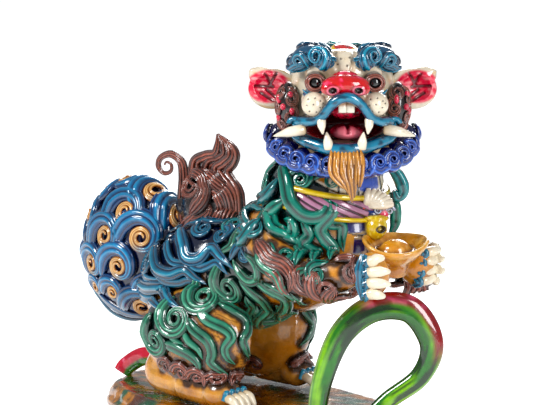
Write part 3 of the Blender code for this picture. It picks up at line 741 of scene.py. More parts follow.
    # The brown fringe of the foreleg.
    wave("foreleg_curls", [(-1, 101), (3, 96), (6, 93), (13, 90), (16, 85), (14, 79)], 9, BROWN, ridges=6,
        groove=0.5, lift=0.8, height=0.42)
    wave("foreleg_curls", [(3, 89), (9, 86), (11, 81), (15, 77)], 6, BROWN, ridges=4, groove=0.5, lift=0.6)
    for eye, radius, start, lift in (((24, 85), 8.0, 165, 0), ((31, 82), 7.4, 175, 1.1),
            ((37.5, 79), 7.0, 180, 2.2), ((44, 79), 5.4, -60, 2.6)):
        curl("foreleg_curls", eye, radius, start, 1, BROWN, ridges=5, groove=0.5, stem=9, bend=0.0,
            height=0.46, dome=0.2, lift=lift, turns=1.8)
    curl("foreleg_curls", (41.5, 89.5), 6.2, 60, -1, BROWN, ridges=5, groove=0.5, stem=12, height=0.46,
        dome=0.25, lift=1.4)
    # Small curls along the hock and foot.
    for eye, radius, start in (((-46, 32), 5, 150), ((-38, 30), 5.6, 160), ((-30, 28.5), 5.6, 160),
            ((-21, 28), 6, 165), ((-12, 27.5), 5.6, 165), ((-2, 26), 5, 160)):
        curl("hock_curls", eye, radius, start, -1, BROWN, ridges=4, groove=0.5, stem=6, bend=0.0, height=0.5,
            dome=0.3, turns=1.7, lift=0.3)

    placed = np.vstack(LINES)[::3]

    # Small locks fill what is left, down the flank, over the back and round the neck.
    inside = {name: (np.array(c), np.array(r), turn("Y", t)) for name, (c, r, t) in PADS.items()}

    def within(name, point, slack=1.1):
        centre, radii, tilt = inside[name]
        q = ((point * (1, -1 if point[1] > 0 else 1, 1) - centre) @ tilt) / radii
        return q @ q < slack**2

    def filler(name, radius, ridges):
        def make(point, normal, picker):
            size = radius * picker.uniform(0.8, 1.15)
            if picker.random() < 0.6:
                hook(hair[name], coat, point, size, picker.uniform(120, 220), picker.choice((-1, 1)),
                    turns=1.6,
                     stem=size * 1.7, tone=TONES.get(name, TEAL), ridges=ridges, groove=0.35, height=0.5)
            else:
                right, up = tangents(UP, normal)
                flow = unit(-0.9 * up + picker.uniform(-0.6, 0.6) * right)
                side = np.cross(normal, flow)
                places = [point + flow * size * s + side * size * 0.45 * math.sin(2.6 * s + 1)
                    for s in (-1.7, -0.9, 0, 0.9, 1.7)]
                lock(hair[name], coat, places, size * 0.95, TONES.get(name, TEAL), ridges=ridges, seen=False,
                    count=24)
        return make

    for name, radius, spacing, seed in (("mane", 6.2, 10, 3), ("rump_locks", 6.4, 10.5, 4),
            ("flank_locks", 6.0, 10, 5)):
        def region(point, normal, name=name):
            return point[1] < 1.5 and within(name,
                point) and (name == "mane" or not within("mane", point, 1.0)) \
                and (name != "flank_locks" or not within("rump_locks", point, 0.98)) and not (point[0] > 52
                and abs(point[1]) < 16)
        tufts(coat, region, spacing, placed, 6.0, filler(name, radius, 2), seed)

    def on_spine(point, normal):
        return normal[2] > 0.25 and abs(point[1]) < 14 and -62 < point[0] < 32 and point[2] > 72

    near_spine = np.vstack(LINES)[::3]
    tufts(coat, on_spine, 9.5, np.vstack([near_spine, near_spine * MIRROR]), 4.6,
        filler("nape_locks", 6.2, 2), 6)

    # Bare hide: warm over the bulges, with painted shade on the undersides and right beside the hair, and fine lines
    # scratched in the thigh.
    def hide(skin, scratch=False):
        tone = noise(skin.points, 26, 2)[:, None]
        tints = OCHRE + (OCHRE_LIGHT - OCHRE) * tone
        # Painted shade: the hide darkens towards dark ochre where it faces down.
        tints = mixed(tints, OCHRE_SHADE, 0.55 * (1 - ease(skin.normals[:, 2], -0.9, 0.2)))
        if scratch:
            slope = skin.points @ np.array((0.45, 0, 0.9))
            hatch = np.sin(slope * 2 * math.pi / 1.7) > 0.86
            slope = skin.points @ np.array((0.85, 0, 0.5))
            cross = (np.sin(slope * 2 * math.pi / 2.1) > 0.9) & (noise(skin.points, 14, 5) > 0.55)
            patch = (noise(skin.points, 17, 8) > 0.44) & (skin.points[:, 2] > 30) & (skin.points[:, 1] < -20)
            tints = mixed(tints, HIDE_PITS, 0.62 * (patch & (hatch | cross)))
        # Painted shade beside the hair: the hide turns dark ochre, then near-black, close to every strand.
        painted_shade = shade_beside_strands(skin, placed, 2.4)
        return mixed(mixed(tints, OCHRE_SHADE, 0.7 * painted_shade), INK, 0.8 * ease(painted_shade, 0.45, 1.0))

    torso_skin.shape(hide(torso_skin)).piece("torso_hide", "ochre_glaze", "torso")
    leg = leg_skin.shape(hide(leg_skin, True))
    leg.piece("hind_leg_hide_right", "ochre_glaze", "hind_leg_right")
    leg.mirrored().piece("hind_leg_hide_left", "ochre_glaze", "hind_leg_left")
    arm = arm_skin.shape(hide(arm_skin))
    arm.piece("foreleg_hide_right", "ochre_glaze", "foreleg_right")
    arm.mirrored().piece("foreleg_hide_left", "ochre_glaze", "foreleg_left")
    for name, slot in HAIR_GLAZES.items():
        hair[name].piece(name + "_hair_right", slot, name + "_right")
        other = hair[name].mirrored()
        if name == "mane":
            other.join(far)
        if name == "foreleg_curls":
            for i in range(4):
                line = smooth_line([show_place(70 + 2.2 * i, 34, 82),
                    show_place(72 + 2.6 * i, 36, 77 - 0.4 * i),
                    show_place(70.6 + 2.8 * i, 35, 72.4 + 1.2 * i)], 24)
                strand(other, line, TO_VIEWER, [2.6, 5.0, 3.6], [1.6, 2.6, 1.6], BROWN, 3, groove=0.45,
                    sink=1.0)
        other.piece(name + "_hair_left", slot, name + "_left")
    nape = hair["nape_locks"]
    return nape.join(nape.mirrored())


# ---------------------------------------------------------------- tail


FAN_HOOK = {
    "tone": TAIL, "ridges": 4, "groove": 0.26, "tip": CURL_EYE, "tip_turn": 0.5, "dome": 0.34, "height": 0.5,
    "root": 0.8, "wind": (0.215, 0.105),
}

def tail():
    """A fan of blue hooks, each with a cream eye, and behind it a tall brown flame of grooved strands."""
    fan_skin = Skin([ball((-87, 0, 79), (32, 16, 37), turn("Y", 16)),
        ball((-66, 0, 70), (11.5, 13.5, 11.5))], 0.9)
    fan = Shape()
    depth = noise(fan_skin.points, 18, 4)
    tints = mixed(TAIL.pool + (TAIL.body - TAIL.pool) * 0.25 * depth[:, None], TAIL.body * 0.7,
        0.35 * ease(depth, 0.5, 1))
    fan.add(fan_skin.points, [fan_skin.faces], tints)
    eyes = (((-87, 59), 7.0, 160), ((-77, 58), 8.0, 130), ((-88, 72), 10.6, 150), ((-73, 73), 11.6, 138),
        ((-80, 88), 11.8, 150),
            ((-61, 89), 12.6, 132), ((-69, 101), 12.2, 145), ((-55, 111), 12, 135), ((-44, 99), 13, 124))
    for eye, radius, start in eyes:
        hook(fan, fan_skin, fan_skin.shown(*eye), radius, start, -1, turns=2.4, stem=radius * 1.9, bend=0.0,
            **FAN_HOOK)
    far_eyes = ((-96, 8, 62), (-103, 7, 84), (-92, 9, 104), (-80, 12, 66), (-84, 12, 86), (-72, 12, 96),
        (-66, 12, 78), (-88, 10, 50))
    for i, place in enumerate(far_eyes):
        hook(fan, fan_skin, np.array(place) + (0, 6, 0), 11.5 - 0.4 * (i % 3), 45, 1, turns=2.4, stem=20,
            bend=0.1, **FAN_HOOK)
    covered = np.vstack(LINES)[::4]

    def more_hooks(point, normal, picker):
        near_side = point[1] < 0
        hook(fan, fan_skin, point, picker.uniform(10, 12), 150 if near_side else 30, -1 if near_side else 1,
            turns=2.3, stem=18, bend=0.0, **FAN_HOOK)
    tufts(fan_skin, lambda point, normal: point[2] > 52 and point[0] < -62, 13.5, covered, 8.5,
        more_hooks, 31)
    # A teal rim runs round the underside to the point of the fan.
    rim = [fan_skin.shown(a, b) for a, b in ((-97, 66), (-94, 56), (-86, 50), (-76, 44), (-64, 41),
        (-56, 46))]
    line, ups = laid(fan_skin, smooth_line(rim, 50), 0.3)
    strand(fan, line, ups, [3, 5, 5.5, 5, 3], [1.6, 2.4, 2.6, 2.2, 1.4], TAIL_RIM, 1)
    rim = [fan_skin.shown(a, b) for a, b in ((-88, 56), (-80, 50), (-70, 46), (-60, 46))]
    line, ups = laid(fan_skin, smooth_line(rim, 40), 0.2)
    strand(fan, line, ups, [3, 6, 6, 3], [1.2, 1.8, 1.8, 1.0], TAIL, 2)
    fan.piece("tail_fan_curls", "blue_glaze", "tail_fan")

    flame = Shape()
    outline = ((-50, 94), (-50, 106), (-44, 115), (-35, 120), (-28, 119), (-24, 112), (-23, 102), (-28, 93),
        (-38, 90))
    back = [ball((x, 0, z), (6, 5.4, 6)) for x, z in outline]
    flame_skin = Skin([ball((-37, 0, 105), (14.5, 8.5, 16)), ball((-40, 0, 92), (11.5, 7.5, 8.5)), *back],
        0.8, 10)
    flame.add(flame_skin.points, [flame_skin.faces], BROWN.pool * 1.1)

    def sweep(places, width, ridges=5, lift=0.6, **more):
        lock(flame, flame_skin, places, width, BROWN, ridges=ridges, groove=0.55, count=64, lift=lift,
            height=0.42,
             sink=0.8, **more)
        mirrored_lock(flame, flame_skin, places, width, ridges, lift)

    sweep([(-28, 88), (-19, 94), (-14.5, 104), (-15, 115), (-19, 122)], 8, 5, 0.6)
    sweep([(-34, 90), (-25, 92), (-18.5, 99), (-15.5, 109), (-18.5, 117), (-26, 123), (-35, 121)], 9.5,
        7, 1.2)
    sweep([(-36, 95), (-28, 97), (-21, 102), (-19, 110), (-23, 117), (-30, 120.6)], 7.5, 5, 0.9)
    sweep([(-35, 100), (-30, 101.5), (-26, 105), (-25, 110)], 6, 5, 0.7)
    sweep([(-42, 92), (-38, 98), (-34, 103), (-31, 107)], 6, 4, 0.5)
    for centre, start, hand in ((flame_skin.shown(-33, 116.6), -40, 1), ((-40, 8, 116), 220, -1)):
        hook(flame, flame_skin, centre, 9.6, start, hand, turns=2.4, stem=12, bend=0.3, tone=BROWN, ridges=6,
            groove=0.55,
             dome=0.3, height=0.5, sink=0.8, lift=1.6, wind=(0.16, 0.11))

    def plume(places, radii, ridges=5):
        """A free strand standing clear of the rest, grooved on both faces."""
        line = smooth_line([((a - y * SHOW_ACROSS[1]) / SHOW_ACROSS[0], y, u) for a, u, y in places], 70)
        ups = SHOW_OUT
        radii = spread(radii, 70)
        strand(flame, line, ups, radii * 2, radii * 0.95, BROWN, ridges, groove=0.5, sink=0.2)
        strand(flame, line, -ups, radii * 2, radii * 0.95, BROWN, ridges, groove=0.5, sink=0.2)

    plume([(-39, 98, 0), (-40, 110, 0), (-39.6, 121, 0), (-41, 129, 0), (-46.4, 132.4, 0), (-52, 130, 0),
        (-53.4, 125.4, 0), (-50.4, 122, 0), (-46.6, 123.4, 0),
           (-46.4, 127, 0), (-49, 128, 0), (-50, 126.4, 0)],
           (3.6, 3.4, 3.2, 3.0, 2.7, 2.3, 2.0, 1.7, 1.5, 1.2, 0.9, 0.5))
    plume([(-34, 112, 0), (-33.6, 122, 0), (-33, 129.6, 0), (-28, 133, 0), (-23, 135, 0), (-21.6, 140, 0),
        (-21.6, 145, 0)], (3.2, 3.6, 3.6, 3.2, 2.8, 2.0, 0.6), 4)
    plume([(-26, 114, 0.6), (-27, 124, 0.6), (-25.6, 129.4, 0.6), (-20.6, 132, 0.6), (-17.6, 135.6, 0.4),
        (-18.6, 141, 0), (-21.2, 145, 0)], (3.6, 3.8, 3.6, 3.4, 2.9, 2.1, 0.6), 4)
    plume([(-13, 106, -1), (-14.6, 116, -1), (-19.6, 123, -1), (-22, 127.4, -1), (-18.4, 130.6, -1),
        (-14.8, 135, -0.6), (-16.4, 140.6, 0), (-21, 144.6, 0)],
          (3.4, 4.2, 4.0, 3.2, 3.0, 2.9, 2.1, 0.5), 4)
    plume([(-10.4, 100, 1), (-10.6, 110, 1), (-12, 118, 1), (-16.4, 125.6, 1), (-13.4, 130.6, 0.6),
        (-12.2, 135.4, 0.3), (-14.6, 140, 0), (-19.6, 143.6, 0)],
          (2.6, 3.4, 3.6, 2.6, 2.4, 2.4, 1.8, 0.5), 3)
    flame.piece("tail_flame_strands", "brown_glaze", "tail_flame")


def mirrored_lock(shape, skin, places, width, ridges, lift):
    near = [skin.shown(*place) for place in places]
    line, ups = laid(skin, smooth_line(np.array(near) * MIRROR, 64), lift)
    widths = spread(np.array((0.55, 0.95, 1, 0.9, 0.7, 0.25)) * width, 64) * rounded_ends(64)
    strand(shape, line, ups, widths, widths * 0.42, BROWN, ridges, groove=0.55, sink=0.8)


# ---------------------------------------------------------------- head
# It is laid out in its own frame, with X to the viewer's right and -Y towards the viewer. on_head() puts it in place.

FRONT = np.array((0.0, -1.0, 0.0))
RIGHT = np.array((1.0, 0.0, 0.0))
SIDES = ((-1, "right"), (1, "left"))
EYE_ACROSS, EYE_UP = 15, 15.5
MOUTH = (((0, -26, -8), (23, 27, 9)), ((0, -30, -3), (12, 24, 9)))  # the ovals cut from the skull
NOSTRIL_AT, NOSTRIL_RADII = np.array((6.4, -41, 12.1)), (2.1, 3.4, 1.6)
BEARD_ACROSS, BEARD_DEEP = 32.5, 32


def inside_ball(points, centre, radii):
    """Below 1 inside the oval, 1 on it, more outside."""
    return np.sqrt((((points - centre) / radii) ** 2).sum(1))


def beside(points, a, b, width):
    """1 on the segment from a to b, fading to 0 at `width` from it; a and b are (x, z)."""
    p, a, b = points[:, [0, 2]], np.array(a, float), np.array(b, float)
    t = np.clip(((p - a) @ (b - a)) / ((b - a) @ (b - a)), 0, 1)
    return 1 - ease(np.linalg.norm(p - a - t[:, None] * (b - a), axis=1), width * 0.35, width)


def tooth(points, radii, count=26):
    """A smooth ivory tooth, warmer at its root: a Shape."""
    part, faces = roll(points, radii, count, 16)
    t = np.clip(np.linalg.norm(part - np.array(points[0]),
        axis=1) / np.linalg.norm(np.array(points[-1]) - np.array(points[0])), 0, 1)
    tints = mixed(rgb(206, 180, 140), rgb(246, 238, 222), ease(t, 0.0, 0.45))
    return Shape().add(part, faces, tints)


def on_head(shape, name, glaze, *nodes):
    """Makes a piece from a shape in the head's own frame."""
    return shape.moved(HEAD).piece(name, glaze, *nodes)


def skull():
    """The face with its open mouth, and the combed hair behind it."""
    bone = Skin([ball((0, 5, 8), (29, 25, 25)), ball((0, 2, -6), (31, 22, 17)),
        ball((0, -20, 6), (22, 15, 12)),
                  ball((0, -14, 20), (20, 14, 12)), ball((0, 4, -18), (26, 20, 8))], 0.6, 5,
                 [ball(*oval) for oval in MOUTH])
    p, n = bone.points, bone.normals
    # Low modelling: sockets round the eyes, a furrow up the brow, folds beside the muzzle.
    sink = np.zeros(len(p))
    for side in (-1, 1):
        sink += 1.6 * (1 - ease(inside_ball(p, (side * EYE_ACROSS, -26, EYE_UP), (7.5, 12, 6.5)), 0.55, 1.15))
        sink += 0.9 * beside(p, (side * 9, 9), (side * 21, 1), 2.2) * (p[:, 1] < -14)
        sink += 0.7 * beside(p, (side * 3.4, 22), (side * 5, 30), 1.6) * (p[:, 1] < -8)
    p = p - n * sink[:, None]
    tone = noise(p, 15, 12)
    tints = mixed(CREAM, CREAM_SHADE, 0.6 * ease(tone, 0.45, 0.9))
    # Painted shade: the face is tinted brown as deep as the sockets, furrow and folds sink.
    tints = mixed(tints, rgb(176, 142, 104), 0.55 * np.clip(sink, 0, 1))
    side_dark = ease(np.abs(p[:, 0]), 21, 27) * ease(-p[:, 2], -13, -4)
    tints = mixed(tints, BROWN.pool, np.clip(side_dark * 0.9, 0, 1))
    tints = mixed(tints, BROWN.pool, ease(p[:, 1], 4, 12))
    # Painted shade: the underside of the skull, towards the back, is near-black.
    tints = mixed(tints, rgb(30, 20, 22), 0.85 * ease(-p[:, 2], 14, 19) * ease(p[:, 1], -34, -8))
    for side in (-1, 1):
        ring = inside_ball(p, (side * EYE_ACROSS, -26, EYE_UP), (5.6, 14, 5.2))
        tints = mixed(tints, BROWN.body, (1 - ease(ring, 0.82, 0.98)) * (p[:, 1] < -8))
        tints = mixed(tints, INK, (1 - ease(np.abs(ring - 1.0), 0.02, 0.13)) * 0.8 * (p[:, 1] < -8))
        crescent = inside_ball(p, (side * 17, -26, 13), (7.4, 14, 5.6))
        blue = (1 - ease(crescent, 0.9, 1.04)) * ease(ring, 0.98, 1.1) * (p[:, 1] < -8) * ease(side * p[:, 0],
            11, 14)
        tints = mixed(tints, TURQUOISE.body, blue)
    mouth = np.minimum(*(inside_ball(p, *oval) for oval in MOUTH))
    within_mouth = 1 - ease(mouth, 1.03, 1.09)
    # Painted shade: the mouth is darker crimson further in, and grey-black towards its corners.
    depth = ease(p[:, 1], -34, -8)
    throat = mixed(mixed(rgb(200, 30, 64), rgb(112, 12, 36), depth), rgb(40, 26, 36),
        0.6 * ease(np.abs(p[:, 0]), 16, 22))
    tints = mixed(tints, throat, within_mouth)
    tints = mixed(tints, INK, 0.75 * (1 - ease(np.abs(mouth - 1.12), 0.03, 0.09)) * (p[:, 1] < -12))
    # Two rows of small pits on the forehead.
    for x, z in ((-6, 28), (-2, 27.4), (2.6, 28), (6.4, 27.6), (-3.6, 24.6), (1.2, 24)):
        tints = mixed(tints, HIDE_PITS, 0.9 * (1 - ease(np.hypot(p[:, 0] - x, p[:, 2] - z), 0.35, 0.75))
            * (p[:, 1] < -4))
    face = bone.shape(tints, p)
    # Brown lids ring each eye.
    for side in (-1, 1):
        for size, tall in ((4.6, 1.4), (3.5, 1.2)):
            a = np.linspace(0, 2 * math.pi, 44)
            ring = np.stack([side * EYE_ACROSS + size * np.cos(a), -30.6 - 0.8 * (size < 4.5) + 0 * a,
                EYE_UP + 0.92 * size * np.sin(a)], 1)
            strand(face, ring, FRONT + 0.02, [1.4, 1.5, 1.4], tall, BROWN, 1, sink=1.6)
        arc = np.radians(np.linspace(200, 330, 30) if side > 0 else np.linspace(340, 210, 30))
        arc = np.stack([side * 15.8 + 6.2 * np.cos(arc), -29.4 + 0 * arc, 15.0 + 5.8 * np.sin(arc)], 1)
        strand(face, arc, FRONT + 0.02, [0.6, 2.0, 2.2, 1.6, 0.6], 1.2, TURQUOISE, 1, sink=1.6)
    # Hair on the back of the skull: combed teal locks ending in curls.
    back = Shape()

    def comb(point, normal, picker):
        right, up = tangents(UP, normal)
        flow = unit(-up + picker.uniform(-0.5, 0.5) * right)
        if picker.random() < 0.5:
            hook(back, bone, point, 5.6 * picker.uniform(0.85, 1.15), picker.uniform(60, 200),
                picker.choice((-1, 1)), turns=1.8,
                 stem=10, tone=TEAL, ridges=3, groove=0.4, height=0.5)
        else:
            places = [point + flow * 6.0 * s + np.cross(normal, flow) * 2.6 * math.sin(2.6 * s)
                for s in (-1.5, -0.75, 0, 0.75, 1.5)]
            lock(back, bone, places, 5.4, TEAL, ridges=2, seen=False, count=26)

    def crown_back(point, normal):
        return point[1] > 7 and (normal[1] > 0.12) and point[2] > -20 and not (abs(point[0]) > 26
            and point[2] > 4 and point[1] < 10)
    tufts(bone, crown_back, 8.6, np.zeros((0, 3)), 0, comb, 21)
    on_head(face, "face", "cream_glaze", "head")
    on_head(back, "crown_hair", "turquoise_glaze")


def jaw_and_tongue():
    """The lower jaw, a cream band under the lip with a dark line between, and the grooved tongue."""
    jaw_skin = Skin([ball((0, -12, -20), (26, 19, 6)), ball((0, -24, -19), (15, 10, 5))], 0.6, 5)
    q = jaw_skin.points
    tints = mixed(CREAM * 0.94, CREAM_SHADE, noise(q, 12, 3))
    tints = mixed(tints, INK, 0.85 * ease(q[:, 2], -19.2, -17.6))
    on_head(jaw_skin.shape(tints, q), "jaw", "cream_glaze", "lower_jaw")

    tongue = Skin([ball((1.5, -17, -11), (8.6, 14.5, 4.4)), ball((1.5, -25, -10), (6.4, 6, 3.2))], 0.5, 4)
    q = tongue.points - tongue.normals * (1.5 * (1 - ease(np.abs(tongue.points[:, 0] - 1.5), 0.2, 1.6))
        * (tongue.normals[:, 2] > 0.3))[:, None]
    tints = mixed(rgb(196, 58, 84), rgb(236, 146, 158), ease(-q[:, 1], 22, 31))
    # Painted shade: the tongue is darker towards the back of the mouth and along its groove.
    tints = mixed(tints, rgb(96, 10, 34), 0.7 * ease(q[:, 1], -22, -8))
    tints = mixed(tints, rgb(120, 16, 40), 0.8 * (1 - ease(np.abs(q[:, 0] - 1.5), 0.2, 1.0))
        * (tongue.normals[:, 2] > 0.1))
    on_head(tongue.shape(tints, q), "tongue_glazed", "pink_glaze", "tongue")


def lips():
    """Fat turquoise strips with scrolled corners, and the palate behind them."""
    def lip(shape, places, width, height, ridges=1):
        line = smooth_line(places, 80)
        ups = softened(unit(line * (0.5, 1, 0.2) - np.array((0, 6, 0))), 6)
        strand(shape, line, ups, width, height, TURQUOISE, ridges, groove=0.15, sink=1.0, vary=0, fine=17)
        streak = noise(shape.points[-1] * (0.5, 1, 1), 5.5, 17)
        shape.tints[-1] = mixed(shape.tints[-1], TURQUOISE.pool, 0.75 * ease(streak, 0.5, 0.85))

    # The palate, seen above the tongue.
    palate = Skin([ball((0.5, -19, 0.5), (9, 12, 4.6)), ball((0.5, -25, 1.5), (6.4, 6, 3.4))], 0.6, 4)
    q = palate.points
    tints = mixed(rgb(206, 62, 88), rgb(120, 14, 40), ease(noise(q, 5, 4), 0.4, 0.8))
    on_head(palate.shape(tints, q), "palate", "pink_glaze")
    upper = Shape()
    lip(upper, [(-27, -18.5, -5.6), (-22, -25, -4.8), (-16, -31.6, -4.0), (-11.5, -35, -1.4), (-8, -37, 3.6),
        (-4, -38.4, 7.4), (0.5, -38.8, 8.8),
                (5, -38.4, 7.4), (9, -37, 3.6), (12.5, -35, -1.4), (17, -31.6, -4.0), (22, -25, -4.8),
                (27, -18.5, -5.6)],
        (2.2, 5.6, 5.2, 4.6, 5.0, 5.4, 5.6, 5.4, 5.0, 4.6, 5.2, 5.6, 2.2),
        (1.2, 3.2, 3.0, 2.6, 3.0, 3.2, 3.4, 3.2, 3.0, 2.6, 3.0, 3.2, 1.2))
    for side in (-1, 1):
        a = np.linspace(0, 5.2, 30)
        scroll = np.stack([side * (24.6 + (3.2 - 0.45 * a) * np.cos(a)), -24.4 + 0.9 * np.cos(a),
            -6.0 + (3.0 - 0.42 * a) * np.sin(a)], 1)
        strand(upper, scroll, unit(np.array((side * 0.5, -1, 0.1))), [3.2, 3.0, 2.4, 1.2], 2.0, TURQUOISE, 1,
            sink=0.8)
    on_head(upper, "upper_lip_strip", "turquoise_glaze", "upper_lip")
    lower = Shape()
    lip(lower, [(-27, -17.5, -11.2), (-23, -23, -13.6), (-17, -28, -15.8), (-9, -32.4, -17.8),
        (0, -34, -18.3), (9, -32.4, -17.6), (17, -28, -15.6),
                (23, -23, -13.6), (27, -17.5, -11.2)], (2.4, 5.2, 6.2, 6.4, 6.4, 6.4, 6.2, 5.2, 2.4),
                (1.4, 3.0, 3.2, 3.2, 3.2, 3.2, 3.2, 3.0, 1.4))
    shelf = smooth_line([(-22, -18, -14), (-12, -25, -17), (0, -27.6, -17.6), (12, -25, -17),
        (22, -18, -14)], 50)
    strand(lower, shelf, unit(np.array((0.0, -0.25, 1))), [5, 9, 10, 9, 5], 2.6,
        Tone((4, 40, 62), (12, 92, 122), (60, 176, 194)), 1, sink=0.6)
    on_head(lower, "lower_lip_strip", "turquoise_glaze", "lower_lip")


def nose():
    """A broad crimson muzzle with rimmed nostrils."""
    muzzle = Skin([ball((0, -35, 15), (11.8, 5.8, 5.2)), ball((0, -31, 18), (7, 6, 4)),
        ball((-7, -36.6, 13), (5.4, 3.9, 3.9)),
                 ball((7, -36.6, 13), (5.4, 3.9, 3.9)), ball((0, -37.4, 15.4), (6, 3.4, 3.6))], 0.4, 4,
                [ball(NOSTRIL_AT * (side, 1, 1), NOSTRIL_RADII) for side in (-1, 1)])
    q = muzzle.points
    tints = mixed(CRIMSON, ROSE, ease(noise(q, 7, 9), 0.55, 0.9))
    tints = mixed(tints, rgb(240, 190, 190), 0.75 * ease(-q[:, 2], -11.6, -9.4))
    for side in (-1, 1):
        rim = inside_ball(q, NOSTRIL_AT * (side, 1, 1), NOSTRIL_RADII)
        tints = mixed(tints, rgb(238, 150, 168), 0.85 * (1 - ease(np.abs(rim - 1.35), 0.05, 0.3)))
        # Painted shade inside each nostril hole: near-black.
        tints = mixed(tints, rgb(60, 4, 18), 1 - ease(rim, 1.02, 1.16))
        tints = mixed(tints, CRIMSON_DARK, 0.5 * (1 - ease(np.abs(rim - 1.9), 0.05, 0.35)))
    on_head(muzzle.shape(tints, q), "nose_glazed", "red_glaze", "nose")


def whisker_pads():
    """Cream cushions with pricked dots."""
    for side, name in SIDES:
        q, faces = ball((side * 15.5, -31, 4.5), (6.4, 6.2, 6.5), None, 70, 90)
        dots = ((-3, 3), (0.4, 3.6), (3.2, 2.2), (-3.8, -0.2), (-0.4, 0.4), (2.9, -1.2), (-2.4, -3.2),
            (1.2, -3.6), (4.4, 0.9))
        prick = np.zeros(len(q))
        for x, z in dots:
            prick = np.maximum(prick, 1 - ease(np.hypot(q[:, 0] - side * 15.5 - x, q[:, 2] - 4.5 - z), 0.25,
                0.62))
        prick *= q[:, 1] < -31
        # Painted shade: each cushion is darker over its lower part.
        tints = mixed(mixed(CREAM, CREAM_SHADE, 0.7 * ease(-q[:, 2], -2, 4)), HIDE_PITS, 0.85 * prick)
        q = q + FRONT * -0.5 * prick[:, None]
        on_head(Shape().add(q, faces, tints), "whisker_cushion_" + name, "cream_glaze", "whisker_pad_" + name)


def eyes():
    """Black domes with a brown iris ring."""
    for side, name in SIDES:
        q, faces = ball((side * EYE_ACROSS, -27.2, EYE_UP), (4.2, 4.7, 4.2), turn("X", 90), 60, 60)
        out = np.hypot(q[:, 0] - side * EYE_ACROSS, q[:, 2] - EYE_UP)
        tints = mixed(rgb(12, 12, 15), rgb(116, 78, 62), ease(out, 2.9, 3.2))
        tints = mixed(tints, INK, ease(out, 3.75, 3.95))
        on_head(Shape().add(q, faces, tints), "eyeball_" + name, "black_glaze", "eye_" + name)


def brows():
    """Turquoise cloud clumps of curls and locks."""
    for side, name in SIDES:
        pad = Skin([roll([(side * 6, -27, 25), (side * 12, -23, 29), (side * 20, -17, 29),
            (side * 27, -11, 22)], (3.0, 4.6, 4.8, 3.0))], 0.6, 4)
        brow = pad.shape(TURQUOISE.body * 0.7)
        for x, z, r, start, hand, stem in ((14.0, 29.0, 6.6, -60, 1, 10), (22.4, 26.4, 6.0, -70, 1, 9),
                (26.6, 20.6, 3.8, -40, 1, 6), (7.6, 25.4, 3.0, 200, 1, 6)):
            hook(brow, pad, pad.shown(side * x, z, FRONT, RIGHT), r, start if side < 0 else 180 - start,
                hand * (1 if side < 0 else -1), turns=2.0,
                 stem=stem, tone=TURQUOISE, ridges=3, groove=0.3, height=0.6, dome=0.35, widen=1.05, root=0.8)
        for spot, r, start in (((side * 12, -19, 33), 4.6, 200), ((side * 20, -12, 33), 4.8, 160),
                ((side * 26, -8, 25), 4.4, 140)):
            hook(brow, pad, np.array(spot), r, start if side < 0 else 180 - start, -1 if side < 0 else 1,
                turns=1.9, stem=8, tone=TURQUOISE, ridges=3,
                 groove=0.3, height=0.6, dome=0.3)
        for places, width in (([(4.4, 24.4), (9, 23.4), (15, 23.8), (21, 22.4), (27, 19)], 4.6),
                ([(5, 26.6), (9.4, 27.4), (12, 25.2), (17, 24.8)], 3.8),
                              ([(17.4, 30.2), (19, 26), (24, 24.4), (28.6, 20.6)], 4.0)):
            places = [pad.shown(side * x, z, FRONT, RIGHT) for x, z in places]
            lock(brow, pad, places, width, TURQUOISE, ridges=2, groove=0.3, seen=False, lift=0.4, height=0.55,
                taper=(0.4, 0.9, 1, 0.9, 0.5))
        on_head(brow, "brow_cloud_" + name, "turquoise_glaze", "brow_" + name)


def ears():
    """Cream leaves cupped round a pink hollow with deep folds."""
    for side, name in SIDES:
        ear = Skin([ball((side * 36, 0, 10), (13, 4.6, 11)), ball((side * 42, -1, 17), (6.6, 3.2, 5)),
            ball((side * 28, 1, 8), (7, 5, 9)),
                    ball((side * 45, -1.4, 19), (3.6, 2.2, 2.4))], 0.5, 4,
                    [ball((side * 38, -6.4, 10.5), (9.4, 6.6, 7.6))])
        q, m = ear.points, ear.normals
        fold = np.zeros(len(q))
        for a, b in (((34, 18.6), (38, 11.5)), ((45, 11.6), (36, 11)), ((31, 2.8), (39, 9.5)),
                ((34, 3), (42, 8)), ((40, 18), (37, 12))):
            fold = np.maximum(fold, beside(q, (side * a[0], a[1]), (side * b[0], b[1]), 1.1))
        fold *= m[:, 1] < 0.1
        hollow = (1 - ease(inside_ball(q, (side * 38.6, -3, 11.4), (11.4, 9, 8.8)), 0.9, 1.08)) * (m[:,
            1] < 0.25)
        tints = mixed(CREAM * 0.96, OCHRE, 0.8 * ease(side * -q[:, 0] * 0.2 - q[:, 2], -1, 6)
            * (noise(q, 9, 3) > 0.25))
        tints = mixed(tints, OCHRE_LIGHT, 0.55 * ease(noise(q, 8, 6), 0.5, 0.9))
        tints = mixed(tints, mixed(rgb(224, 64, 96), rgb(244, 168, 170), ease(noise(q, 7, 7), 0.45, 0.85)),
            hollow)
        # Painted shade in the folds of the hollow.
        tints = mixed(tints, rgb(86, 14, 30), 0.85 * fold * np.clip(hollow + 0.25, 0, 1))
        q = q - m * (1.1 * fold * hollow)[:, None]
        on_head(ear.shape(tints, q), "ear_leaf_" + name, "cream_glaze", "ear_" + name)


